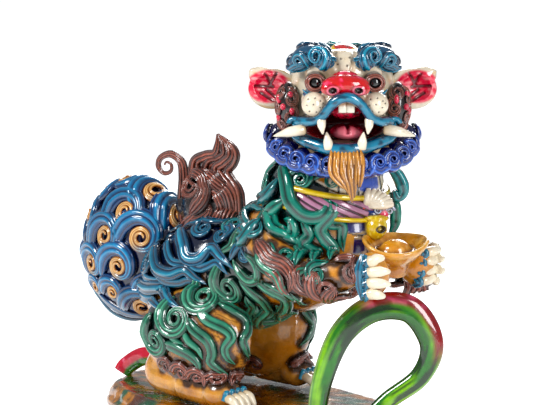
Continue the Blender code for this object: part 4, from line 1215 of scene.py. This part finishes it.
def cheeks():
    """Combed brown whorls set with pink almonds."""
    for side, name in SIDES:
        pad = Skin([ball((side * 28, -9, 2), (5.6, 8.6, 12.6)), ball((side * 29, -2, -8), (5.2, 8.6, 7.6))],
            0.6, 4)
        cheek = pad.shape(BROWN.pool)
        view = unit(np.array((side * 0.62, -1, 0)))
        beside_view = np.cross(view, UP) * -1
        for x, z, r, start, hand in ((-2.4, 9.5, 3.6, 200, 1), (3.0, 5.6, 3.8, 40, -1),
                (-3.6, 1.2, 3.8, 160, 1), (2.4, -2.6, 3.8, 20, -1), (-2.4, -7.4, 3.8, 180, 1),
                                     (3.6, -10.4, 3.4, 60, -1)):
            centre = pad.nearest([np.array((side * 28, -12, 0)) + beside_view * x + UP * z + view * 3])[0][0]
            hook(cheek, pad, centre, r * 1.15, start, hand, turns=1.7, stem=8, tone=BROWN, ridges=4,
                groove=0.5, height=0.45, dome=0.2)
        for x, z, tall in ((-3.4, 5.8, 2.6), (3.2, 8.4, 1.8), (-5.4, -4.2, 2.2), (4.0, -0.4, 2.0),
                (0.4, 2.0, 1.8)):
            centre = pad.nearest([np.array((side * 28, -12, 0)) + beside_view * x + UP * z + view
                * 3])[0][0] + view * 0.5
            q, faces = ball(centre, (1.5, 1.5, tall), None, 14, 20)
            tints = mixed(rgb(222, 70, 100), rgb(240, 186, 176),
                ease(inside_ball(q, centre - np.array((0, 1.5, 0)), (1.5, 1.5, tall)), 1.0, 1.25))
            cheek.add(q, faces, tints)
        on_head(cheek, "cheek_whorls_" + name, "brown_glaze", "cheek_" + name)


def teeth():
    """Fangs, tusks and a pair of square front teeth."""
    for side, name in SIDES:
        fang = tooth([(side * 12, -34.6, -2.2), (side * 11.8, -36.2, -6), (side * 11.2, -36.4, -10.4)],
            (2.5, 2.1, 0.35))
        on_head(fang, "upper_fang_tooth_" + name, "cream_glaze", "upper_fang_" + name)
        fang = tooth([(side * 8, -34, -18.5), (side * 8.7, -34.8, -14), (side * 9.3, -34.4, -9.2)],
            (2.7, 2.3, 0.35))
        on_head(fang, "lower_fang_tooth_" + name, "cream_glaze", "lower_fang_" + name)
        tusk = tooth([(side * 19.4, -27, -8.6), (side * 27, -28.4, -9.8), (side * 36, -26, -12.4)],
            (3.0, 2.7, 0.4), 34)
        on_head(tusk, "tusk_tooth_" + name, "cream_glaze", "tusk_" + name)
    front_teeth = Shape()

    def square(v, half):
        return np.sign(v) * half * np.minimum(1, np.abs(v) / half * 1.25) ** 0.8

    for x in (-1.5, 2.6):
        q, faces = ball((x, -35.2, 3.2), (2.3, 1.7, 2.9), None, 30, 36)
        q[:, 0] = x + square(q[:, 0] - x, 2.0)
        q[:, 2] = 3.2 + square(q[:, 2] - 3.2, 2.5)
        front_teeth.add(q, faces, mixed(rgb(246, 240, 226), rgb(210, 176, 150), ease(q[:, 2], 3.4, 5)))
    on_head(front_teeth, "incisor_pair", "cream_glaze", "incisors")


def crown_spot():
    """A red spot with a yellow ring on the crown."""
    q, faces = ball((0, -9.5, 31.0), (7, 7, 2.4), turn("X", 24), 60, 60)
    out = np.hypot(q[:, 0] / 7, (q[:, 1] + 9.5) / 6.4)
    tints = mixed(mixed(CRIMSON, CRIMSON_DARK, ease(noise(q, 5, 2), 0.5, 0.9)), rgb(232, 196, 70),
        ease(out, 0.66, 0.74))
    tints = mixed(tints, CREAM, ease(out, 0.84, 0.92))
    on_head(Shape().add(q, faces, tints), "crown_spot", "red_glaze", "crown_boss")


def beard():
    """A row of cobalt curls picked out with pale lines, under the jaw from ear to ear."""
    band, curls = [], Shape()
    for i in range(12):
        t = -1 + 2 * i / 11
        a = math.radians(88 * t)
        band.append(ball((BEARD_ACROSS * math.sin(a), 1 - BEARD_DEEP * math.cos(a), -27 + 13 * t * t),
            (5.8, 4.8, 6.2)))
    beard_skin = Skin(band, 0.8, 5)
    curls.add(beard_skin.points, [beard_skin.faces], COBALT.pool * 1.4)
    for i in range(15):
        t = -1 + 2 * i / 14
        a = math.radians(92 * t)
        out = np.array((math.sin(a), -math.cos(a), 0))
        centre = np.array((BEARD_ACROSS * math.sin(a), 1 - BEARD_DEEP * math.cos(a),
            -25.4 + 13.4 * t * t)) + 5 * out
        left = t < 0
        hook(curls, beard_skin, centre - UP * 0.8, 6.4, 200 if left else -20, 1 if left else -1, turns=2.5,
            stem=6, bend=0.2, tone=COBALT, ridges=3,
             groove=0.28, height=0.5, dome=0.34, widen=1.1, root=0.9, lift=0.5)
    on_head(curls, "beard_curls", "cobalt_glaze", "beard")


def goatee():
    """Tan strands, finely combed at the root and gathered to one side below."""
    tuft = Shape()
    for i, x in enumerate((-5.8, -2.6, 0.6, 3.8, 7.0)):
        reach = (-38.5, -42, -45.4, -43, -35.5)[i]
        sway = (2.2, 2.8, 3.6, 4.6, 7.2)[i]
        line = smooth_line([(x, -34.6, -19.4), (x * 1.12, -37.2, -24), (x * 1.08, -39.6, -30),
            (0.45 * x + 0.55 * sway, -40, -36), (sway, -38.6, reach)], 60)
        widths = spread((4.0, 4.4, 4.6, 4.2, 3.2, 0.9), 60) * rounded_ends(60, 0.06)
        strand(tuft, line, FRONT + 0.01, widths, widths * 0.62, TAN, 2, groove=0.5, sink=1.0, vary=0.3)
    for i in range(9):
        x = -7.0 + 1.85 * i
        line = smooth_line([(x, -35.0, -18.4), (x * 1.03, -37.6, -21.6), (x * 1.05, -39.6, -25.6)], 24)
        strand(tuft, line, FRONT + 0.01, [1.1, 1.5, 0.8], [0.9, 1.1, 0.5], TAN, 1, sink=1.0)
    on_head(tuft, "goatee_strands", "ochre_glaze", "goatee")


# ---------------------------------------------------------------- chest and collar


SCUTE_EDGES = np.array((84.5, 93.5, 103.5, 113.0, 122.5, 131.5))
LOWEST_SCUTE, SCUTE_TALL = 75.0, 9.5
COLLAR_X, COLLAR_UP, COLLAR_SAG = 44, 121, 5.0


def chest():
    plate = Skin([ball((40, 0, 107), (30, 19, 30.5), None, 40, 60),
        ball((50, 0, 128), (20.6, 21.6, 13), None, 30, 40)], 0.7, 6)
    p, n = plate.points, plate.normals
    across, up = p @ SHOW_ACROSS, p[:, 2]
    sag = 0.012 * (across - 50) ** 2  # the scutes hang in shallow arcs
    height = up - sag
    gap = np.abs(height[:, None] - SCUTE_EDGES).min(1)
    step = ((height[:, None] > SCUTE_EDGES).sum(1)).astype(int)
    lower = np.concatenate([[LOWEST_SCUTE], SCUTE_EDGES])[step]
    rise = np.clip((height - lower) / SCUTE_TALL, 0, 1)
    front = ease(n @ SHOW_OUT * 0.7 + n[:, 0] * 0.7, 0.1, 0.5)
    p = p + n * (front * (1.3 - 1.5 * rise - 0.8 * (1 - ease(gap, 0.1, 0.9))))[:, None]
    tints = mixed(CREAM * 0.93, CREAM_SHADE, ease(noise(p, 9, 3), 0.4, 0.9))
    tints = mixed(OCHRE, tints, front)

    def panel(left, right, low, high, colour):
        nonlocal tints
        bow = 0.05 * (across - (left + right) / 2) ** 2
        edge = np.minimum.reduce([across - left, right - across, height - low - bow,
            high - height - 0.2 * bow])
        tints = mixed(tints, colour, ease(edge, -0.2, 0.35) * front)

    def seam(place, low, high):
        nonlocal tints
        tints = mixed(tints, INK, (1 - ease(np.abs(across - place), 0.2, 0.6))
            * ((height > low) & (height < high)) * front)

    panel(38.0, 49.5, 104.4, 110.4, rgb(14, 40, 122))
    panel(37.4, 49.8, 94.4, 101.6, rgb(12, 44, 132))
    panel(37.6, 49.6, 85.4, 92.0, rgb(16, 60, 130))
    panel(52.0, 62.0, 94.4, 101.0, rgb(206, 148, 80))
    panel(41.5, 45.8, 124.2, 130.8, rgb(20, 52, 128))
    panel(24.0, 31.5, 124.0, 130.6, rgb(196, 140, 74))
    panel(46.8, 56.0, 124.4, 130.8, rgb(86, 110, 190))
    for place in (32.4, 37.2, 41.0, 46.2, 57):
        seam(place, 122.5, 134)
    seam(50.8, 84, 113)
    seam(35.6, 84, 113)
    tints = mixed(tints, INK, 0.92 * (1 - ease(gap, 0.25, 0.8)) * front)
    plate.shape(tints, p).piece("chest_scutes", "cream_glaze", "chest_plate")

    # The collar: a mauve cloth band with dark slanting folds between yellow cords.
    sash = Shape()
    angles = np.radians(np.linspace(-104, 104, 200))
    sag = -COLLAR_SAG * np.cos(angles)

    def ring(radius, lift):
        return np.stack([COLLAR_X + radius * np.cos(angles), radius * np.sin(angles),
            COLLAR_UP + sag + lift], 1)

    out = np.stack([np.cos(angles), np.sin(angles), 0.12 + 0 * angles], 1)
    band = Tone((70, 28, 52), (158, 108, 136), (208, 172, 190))
    strand(sash, ring(26.2, 0), out, 9.6, 3.2, band, 1, sink=0.6, vary=0, fine=48)
    q = sash.points[-1]
    round_neck = np.arctan2(q[:, 1], q[:, 0] - COLLAR_X)
    slant = round_neck * 26 * 0.4 + (q[:, 2] - COLLAR_UP) + COLLAR_SAG * np.cos(round_neck)
    fold = ease(np.sin(slant * 2 * math.pi / 3.6), 0.2, 0.8)
    sash.tints[-1] = mixed(sash.tints[-1], rgb(48, 16, 32), 0.9 * fold)
    sash.points[-1] = q - unit((q - np.array((COLLAR_X, 0, 0))) * (1, 1, 0)) * (0.8 * fold)[:, None]
    gold = Tone((116, 88, 22), (206, 176, 62), (240, 222, 130))
    strand(sash, ring(26.6, 5.4), out, 3.2, 3.0, gold, 1, sink=0.8, vary=0)
    strand(sash, ring(26.6, -5.2), out, 2.8, 2.8, gold, 1, sink=0.8, vary=0)
    sash.piece("collar_band", "yellow_glaze", "collar_sash")

    # The rosette: a ribbed cream shell, a red bud, a navy leaf, a pink petal and two small scrolls.
    rosette = Shape()
    shell = Tone((150, 116, 84), (232, 220, 200), (250, 244, 232))
    base = show_place(49.6, 48.6, 117.6)
    for i in range(7):
        turn_by = math.radians(4 + 13 * i)
        tip = base + SHOW_ACROSS * 13.6 * math.cos(turn_by) + UP * 8.4 * math.sin(turn_by) + SHOW_OUT * (1.2
            - 1.6 * math.cos(turn_by))
        line = smooth_line([base, (base + tip) / 2 + SHOW_OUT * 2.4, tip], 24)
        strand(rosette, line, TO_VIEWER, [1.6, 3.0, 4.0, 2.4], [1.6, 2.4, 2.4, 1.0], shell, 1, sink=0.9,
            vary=0.05)

    def leaf(centre, across, up, thick, colour, light):
        q, faces = ball(centre, (across, thick, up), turn("Z", SHOW_DEG), 26, 30)
        # Painted light from above: each part grows lighter over its upper half.
        rosette.add(q, faces, mixed(colour, light, ease((q - centre) @ UP, 0, up)))

    leaf(show_place(48.4, 50.6, 117.4), 2.2, 2.1, 2.0, CRIMSON, rgb(244, 150, 160))
    leaf(show_place(52.0, 50.0, 113.8), 4.4, 1.9, 1.8, rgb(10, 26, 72), rgb(40, 76, 140))
    leaf(show_place(58.4, 49.0, 113.2), 2.6, 2.8, 1.7, rgb(214, 60, 98), rgb(248, 180, 190))
    for place in (show_place(56.2, 49.6, 115.8), show_place(61.6, 47.6, 115.4)):
        a = np.linspace(0, 10, 50)
        scroll = place + SHOW_ACROSS * ((2.3 - 0.2 * a) * np.cos(a))[:,
            None] + UP * ((2.3 - 0.2 * a) * np.sin(a))[:, None] + SHOW_OUT * (0.08 * a)[:, None]
        strand(rosette, scroll, TO_VIEWER, [1.5, 1.2, 0.6], [1.4, 1.2, 0.8],
            Tone((40, 44, 66), (150, 160, 186), (226, 226, 226)), 1)
    rosette.piece("collar_rosette_petals", "cream_glaze", "collar_rosette")

    # The bell: a yellow drop with a slot and a hole.
    centre = show_place(55.2, 50.0, 107.6)
    bell = Skin([ball(centre, (5.6, 5.2, 5.6)), ball(centre - UP * 2.2, (4.2, 4.0, 4.0)),
        ball(centre + UP * 4.4, (6.2, 4.2, 1.8), turn("Z", SHOW_DEG))], 0.35, 3,
                [ball(centre + SHOW_ACROSS * 2.2 + SHOW_OUT * 5.4 - UP * 0.4, (2.0, 3.0, 1.7),
                turn("Z", SHOW_DEG))])
    q = bell.points
    hole = inside_ball(q, centre + SHOW_ACROSS * 2.2 + SHOW_OUT * 5.4 - UP * 0.4, (2.3, 3.2, 1.9))
    tints = mixed(rgb(214, 186, 52), rgb(236, 220, 130), ease(noise(q, 5, 2), 0.5, 0.9))
    # Painted shade: the bell darkens towards its bottom, and the inside of its hole is painted dark.
    tints = mixed(tints, rgb(122, 92, 22), 0.7 * ease(-(q[:, 2] - centre[2]), 3, 7))
    tints = mixed(tints, rgb(50, 34, 12), 1 - ease(hole, 0.98, 1.12))
    bell.shape(tints, q).piece("collar_bell_glazed", "yellow_glaze", "collar_bell")


# ---------------------------------------------------------------- claws, ingot, ribbons, plinth


def claw(shape, points, radii):
    part, faces = roll(points, radii, 30, 16)
    t = ease(np.linalg.norm(part - np.array(points[0]), axis=1), 0, 8)
    tints = mixed(rgb(206, 178, 134), rgb(246, 238, 220), t)
    shape.add(part, faces, tints)


def claws():
    front = Shape()
    reaches = (93.6, 96.6, 96.4, 93.0)
    for i, reach in enumerate(reaches):
        z = 80.0 + 5.1 * i
        sway = 1.2 * (i - 1.5)
        claw(front, [(84.5, -24.0, z), (88.6, -24.6, z + 0.5), (reach - 3.0, -23.4, z + 0.9 + 0.4 * sway),
            (reach, -20.8, z + 0.6 + 0.8 * sway)], (2.5, 2.75, 2.35, 1.0))
        cuff = smooth_line([(83.6, -24.0, z - 2.9), (86.2, -26.6, z - 0.3), (84.6, -25.2, z + 2.6)], 20)
        strand(front, cuff, unit(np.array((0.3, -1.0, 0.05))), [3.2, 4.6, 2.6], [0.9, 1.2, 0.9], TURQUOISE, 2,
            groove=0.25, sink=1.0)
    patch = smooth_line([(82.4, -23.6, 76.6), (81.8, -25.2, 84), (81.9, -25.4, 92), (82.6, -23.8, 98.4)], 44)
    strand(front, patch, unit(np.array((0.1, -1.0, 0.05))), [2.2, 4.4, 5.0, 2.4], [0.8, 1.6, 1.8, 0.9],
        TURQUOISE, 2, groove=0.3, sink=1.0)
    front.piece("front_claws_right_glazed", "cream_glaze", "front_claws_right")
    far = front.mirrored()
    for i in range(4):
        z = 80.5 + 4.6 * i
        claw(far, [show_place(75.5 + 0.8 * i, 44, z), show_place(79 + 0.8 * i, 44.5, z + 0.6),
            show_place(82.6 + 0.7 * i, 41.5, z + 1.0),
                   show_place(84.4 + 0.5 * i, 37.5, z + 0.8)], (2.3, 2.6, 2.4, 1.3))
        cuff = smooth_line([show_place(74 + 0.8 * i, 43.5, z - 2.2), show_place(76.4 + 0.8 * i, 46.6, z),
            show_place(74 + 0.8 * i, 43.5, z + 2.4)], 20)
        strand(far, cuff, TO_VIEWER, [2.6, 4.6, 2.6], [1.2, 1.6, 1.2], TURQUOISE, 2, sink=1.0)
    far.piece("front_claws_left_glazed", "cream_glaze", "front_claws_left")
    hind = Shape()
    for i in range(4):
        y = -36 + 4.1 * i
        claw(hind, [(8.5, y, 20.4), (13, y, 19.6), (17, y, 15.4)], (2.3, 2.4, 1.0))
        cuff = smooth_line([(8.6, y - 2.2, 19.2), (9.2, y, 23), (8.6, y + 2.2, 19.2)], 18)
        strand(hind, cuff, unit(np.array((0.5, 0.02, 1))), [2.2, 3.2, 2.2], [1.0, 1.6, 1.0], TURQUOISE, 1,
            sink=1.0)
    hind.piece("hind_claws_right_glazed", "cream_glaze", "hind_claws_right")
    hind.mirrored().piece("hind_claws_left_glazed", "cream_glaze", "hind_claws_left")


INGOT_STRETCH, INGOT_HALF_LENGTH, INGOT_END_RISE = 1.16, 15.4, 2.6


def ingot():
    """A boat-shaped ingot: a domed middle inside a wide rim that lifts at its two ends."""
    profile = smooth_line([(0, 0, 6.6), (2.8, 0, 6.1), (5, 0, 4.5), (6.4, 0, 2.2), (8, 0, 1.5),
        (10.2, 0, 3.4), (12.4, 0, 5.2), (13.6, 0, 4.6), (13.2, 0, 2.8),
                           (10, 0, -1.2), (6.6, 0, -5), (5, 0, -9), (4.6, 0, -11), (0, 0, -11.2)], 90)
    a = np.linspace(0, 2 * math.pi, 96, endpoint=False)
    rings = np.stack([profile[:, :1] * np.cos(a), profile[:, :1] * np.sin(a) * INGOT_STRETCH,
        profile[:, 2:] + 0 * a], -1)
    rings[..., 2] += INGOT_END_RISE * (np.abs(rings[..., 1]) / INGOT_HALF_LENGTH) ** 2.5
    out = np.hypot(rings[..., 0], rings[..., 1] / INGOT_STRETCH)
    points, faces = capped(rings[::-1])
    out = np.concatenate([out[::-1].ravel(), [0, 0]])
    tints = mixed(rgb(214, 158, 86), rgb(238, 194, 126), ease(noise(points, 9, 4), 0.45, 0.9))
    # Painted shade in the groove between the dome and the rim.
    groove = (1 - ease(np.abs(out - 7.2), 0.3, 2.0)) * (points[:, 2] > 0)
    tints = mixed(tints, rgb(112, 62, 24), 0.85 * groove)
    # Painted shade: darker towards the bottom.
    tints = mixed(tints, rgb(150, 92, 40), 0.6 * ease(-points[:, 2], -1, 7))
    # Painted highlight along the crest of the rim.
    tints = mixed(tints, rgb(244, 206, 146), 0.6 * (1 - ease(np.abs(out - 12.6), 0.3, 1.4))
        * (points[:, 2] > 2))
    place = np.array(Matrix.Translation((84, -0.5, 96))
        @ Matrix.Rotation(math.radians(14), 4, Vector(SHOW_ACROSS))
                     @ Matrix.Rotation(math.radians(SHOW_DEG - 90), 4, "Z"))
    Shape().add(points, faces, tints).moved(place).piece("ingot_glazed", "ochre_glaze", "ingot")


def ribbon(points, width, thickness, facing, count=150):
    """A flat ribbon of clay whose face turns to `facing`: (points, faces, u, v, t).

    u, v and t give each point's place: u across (-1..1), v through (-1..1, 1 being the face) and t along (0..1).
    """
    line = smooth_line(points, count)
    across, thick = frames_along(line, facing)[1:]
    width = spread(width, count)[:, None] / 2
    a = np.linspace(0, 2 * math.pi, 40, endpoint=False)
    u = -np.sign(np.cos(a)) * np.abs(np.cos(a)) ** 0.7
    v = np.sign(np.sin(a)) * np.abs(np.sin(a)) ** 0.9
    rings = line[:, None] + across[:, None] * (width * u)[..., None] + thick[:,
        None] * (thickness / 2 * v)[None, :, None]
    points, faces = capped(rings)
    ends = [0, 0]
    return (points, faces, np.concatenate([np.tile(u, count), ends]),
        np.concatenate([np.tile(v, count), ends]),
            np.concatenate([np.repeat(np.linspace(0, 1, count), len(a)), [0, 1]]))


def ribbons():
    points, faces, u, v, t = ribbon([(52, -20, 13), (55, -18.5, 34), (62, -13, 56), (74, -4, 68.5),
        (88, 7, 68), (96, 13, 52), (92, 10, 36),
                                     (80, 1, 24), (72, -6, 13)], (9, 10, 11.5, 13, 13.5, 12.5, 10, 9, 9), 6.0,
                                     SHOW_OUT + 0.25 * UP)
    streak = noise(np.column_stack([u * 8, v * 3, t * 16]), 7, 3)
    green = mixed(rgb(56, 128, 34), rgb(150, 200, 84), ease(streak, 0.5, 0.9))
    green = mixed(green, rgb(12, 50, 26), 0.9 * ease(noise(np.column_stack([u * 9, v * 2, t * 18]), 7, 8),
        0.55, 0.72))
    green = mixed(green, rgb(20, 66, 30), 0.7 * ease(u, 0.55, 0.95))
    green = mixed(green, rgb(190, 216, 150), 0.7 * ease(-u, 0.72, 0.94))
    crimson = mixed(rgb(150, 20, 48), rgb(220, 116, 142), ease(noise(points, 14, 5), 0.6, 0.95))
    over = ease(t, 0.36, 0.44) * (1 - ease(t, 0.66, 0.74))
    red = np.clip(over * ease(-u, 0.05, 0.35) + ease(-v, 0.1, 0.5), 0, 1)
    Shape().add(points, faces, mixed(green, crimson, red)).piece("ribbon_front_glazed", "leaf_green_glaze",
        "ribbon_front")
    points, faces, u, v, t = ribbon([(-90, -8, 13), (-88, -6, 17), (-78, -4, 23), (-66, -4, 22),
        (-60, -8, 16)], 10, 5, SHOW_OUT + 0.2 * UP, 80)
    rose = mixed(rgb(206, 44, 84), rgb(240, 150, 166), ease(noise(points, 9, 2), 0.55, 0.9))
    leaf = mixed(rgb(58, 130, 40), rgb(20, 70, 30), ease(noise(points, 7, 7), 0.55, 0.9))
    Shape().add(points, faces, mixed(rose, leaf, ease(u, 0.0, 0.3))).piece("ribbon_rear_glazed", "red_glaze",
        "ribbon_rear")


def brocade_ball():
    """The ball under the far paws: coloured panels between raised cords."""
    centre, radius = np.array((-56, -1, 25.7)), 13.2
    q, faces = ball(centre, (radius, radius, radius), turn("Y", 30), 80, 110)
    d = unit(q - centre)
    way = np.abs(d)
    cord = np.minimum(np.abs(way[:, 0] - way[:, 1]),
        np.minimum(np.abs(way[:, 1] - way[:, 2]), np.abs(way[:, 0] - way[:, 2])))
    raised = 1 - ease(cord, 0.04, 0.1)
    panel = way.argmax(1) * 2 + (np.take_along_axis(d, way.argmax(1)[:, None], 1)[:, 0] > 0)
    colours = np.array((rgb(200, 40, 70), rgb(30, 90, 150), rgb(40, 120, 60), rgb(224, 190, 70),
        rgb(20, 120, 130), rgb(220, 120, 140)))
    tints = colours[panel]
    dots = np.sin(d[:, 0] * 28) * np.sin(d[:, 1] * 28) * np.sin(d[:, 2] * 28)
    tints = mixed(tints, CREAM, 0.8 * ease(np.abs(dots), 0.35, 0.5))
    tints = mixed(tints, rgb(226, 190, 84), raised)
    q = q + d * (0.5 * raised)[:, None]
    Shape().add(q, faces, tints).piece("brocade_ball_panels", "red_glaze", "brocade_ball")


def plinth():
    """A low rocky base, glazed in drifts of ochre, green and brown, with a bare clay foot."""
    a = np.linspace(0, 2 * math.pi, 260, endpoint=False)
    lobes = 1 + 0.018 * np.sin(5 * a + 1) + 0.012 * np.sin(9 * a)
    steps = np.array([(0.985, 0.0), (1.0, 0.8), (1.0, 3.2), (0.985, 4.4), (0.99, 6), (0.985, 8.2),
        (0.965, 10.4), (0.94, 11.6), (0.9, 12.0),
                      (0.84, 12.0), (0.76, 12.0), (0.66, 12.0), (0.55, 12.0), (0.42, 12.0), (0.28, 12.0),
                      (0.12, 12.0)])
    rings = []
    for share, z in steps:
        rings.append(np.stack([98 * share * lobes * np.cos(a), 46 * share * lobes * np.sin(a), z + 0 * a], 1))
    rings = np.array(rings)
    flat = rings.reshape(-1, 3)
    rock = noise(flat, 16, 14) * 0.6 + noise(flat, 6, 15) * 0.4
    side = ease(flat[:, 2], 4.2, 6) * (1 - ease(flat[:, 2], 10.5, 11.9))
    flat = flat + np.column_stack([-flat[:, 0] * 0.03, -flat[:, 1] * 0.05, 0 * rock]) * (side * rock)[:, None]
    flat[:, 2] -= 0.5 * ease(flat[:, 2], 11.5, 12) * rock
    rings = flat.reshape(rings.shape)
    points, faces = capped(rings)
    tone = noise(points, 30, 21)
    tints = mixed(rgb(196, 140, 74), rgb(30, 104, 74), ease(tone, 0.52, 0.66))
    tints = mixed(tints, rgb(104, 60, 38), ease(noise(points, 22, 23), 0.6, 0.74))
    tints = mixed(tints, rgb(60, 34, 20), 0.6 * (1 - ease(noise(points, 5, 24), 0.25, 0.45)))
    tints = mixed(rgb(176, 140, 108), tints, ease(points[:, 2], 2.6, 3.8))
    Shape().add(points, faces, tints).piece("plinth_rock", "ochre_glaze", "plinth")


# ---------------------------------------------------------------- stage


CAMERA_TARGET = (3.64, 3.05, 112.4)
CAMERA_DEG_UP = 8
CAMERA_LENS = 120.2
CAMERA_AWAY = 900
FLOOR_HALF = 12.0  # metres


def camera():
    """A long lens on the show side, a little above the figure."""
    target = Vector(CAMERA_TARGET) * MM
    elevation = math.radians(CAMERA_DEG_UP)
    away = Vector(SHOW_OUT) * math.cos(elevation) + Vector((0, 0, math.sin(elevation)))
    data = bpy.data.cameras.new("camera")
    data.sensor_width = 36.0
    data.lens = CAMERA_LENS
    data.clip_start = 0.01
    eye = put("camera", data)
    eye.location = target + away * CAMERA_AWAY * MM
    eye.rotation_euler = (target - eye.location).to_track_quat("-Z", "Y").to_euler()
    bpy.context.scene.camera = eye


def softbox(name, place, size, power, target=(0, 0, 110)):
    data = bpy.data.lights.new(name, "AREA")
    data.shape = "RECTANGLE"
    data.size, data.size_y = size
    data.energy = power
    lamp = put(name, data)
    lamp.location = Vector(place) * MM
    lamp.rotation_euler = ((Vector(target) - Vector(place)) * MM).to_track_quat("-Z", "Y").to_euler()


def studio():
    world = bpy.data.worlds.new("studio")
    bpy.context.scene.world = world
    world.use_nodes = True
    tree = world.node_tree
    seen = tree.nodes["Background"]
    feed(tree, seen, {"Color": (1, 1, 1, 1), "Strength": 1.0})
    dim = add_node(tree, "ShaderNodeBackground", {"Color": (0.94, 0.96, 1, 1), "Strength": 0.32})
    camera_ray = add_node(tree, "ShaderNodeLightPath").outputs["Is Camera Ray"]
    both = add_node(tree, "ShaderNodeMixShader", {0: camera_ray, 1: dim.outputs[0], 2: seen.outputs[0]})
    feed(tree, tree.nodes["World Output"], {"Surface": both.outputs[0]})
    softbox("key", (-250, -800, 700), (0.3, 0.3), 7.6)
    softbox("fill", (900, -300, 400), (0.25, 0.6), 5)
    softbox("rim", (-300, 700, 600), (0.6, 0.4), 7)
    bpy.context.scene.view_settings.view_transform = "Standard"

    mesh = bpy.data.meshes.new("floor")
    mesh.from_pydata([(x * FLOOR_HALF, y * FLOOR_HALF, 0) for x, y in ((-1, -1), (1, -1), (1, 1), (-1, 1))],
        [], [(0, 1, 2, 3)])
    floor = put("floor", mesh)
    floor.location.z = -0.0005
    material = bpy.data.materials.new("floor")
    material.use_nodes = True
    tree = material.node_tree
    camera_ray = add_node(tree, "ShaderNodeLightPath").outputs["Is Camera Ray"]
    glow = add_node(tree, "ShaderNodeMapRange", {"To Min": 0.1, "To Max": 0.75, "Value": camera_ray})
    feed(tree, tree.nodes["Principled BSDF"], {
        "Base Color": (0.93, 0.93, 0.93, 1), "Roughness": 0.7, "Emission Color": (1, 1, 1, 1),
        "Emission Strength": glow.outputs["Result"]})
    mesh.materials.append(material)


camera()
studio()


nape = body()
tail()
nape.piece("nape_locks_hair", "turquoise_glaze", "nape_locks")
chest()
claws()
ingot()
ribbons()
brocade_ball()
plinth()
for make_piece in (skull, jaw_and_tongue, lips, nose, whisker_pads, eyes, brows, ears, cheeks, teeth,
        crown_spot, beard, goatee):
    make_piece()
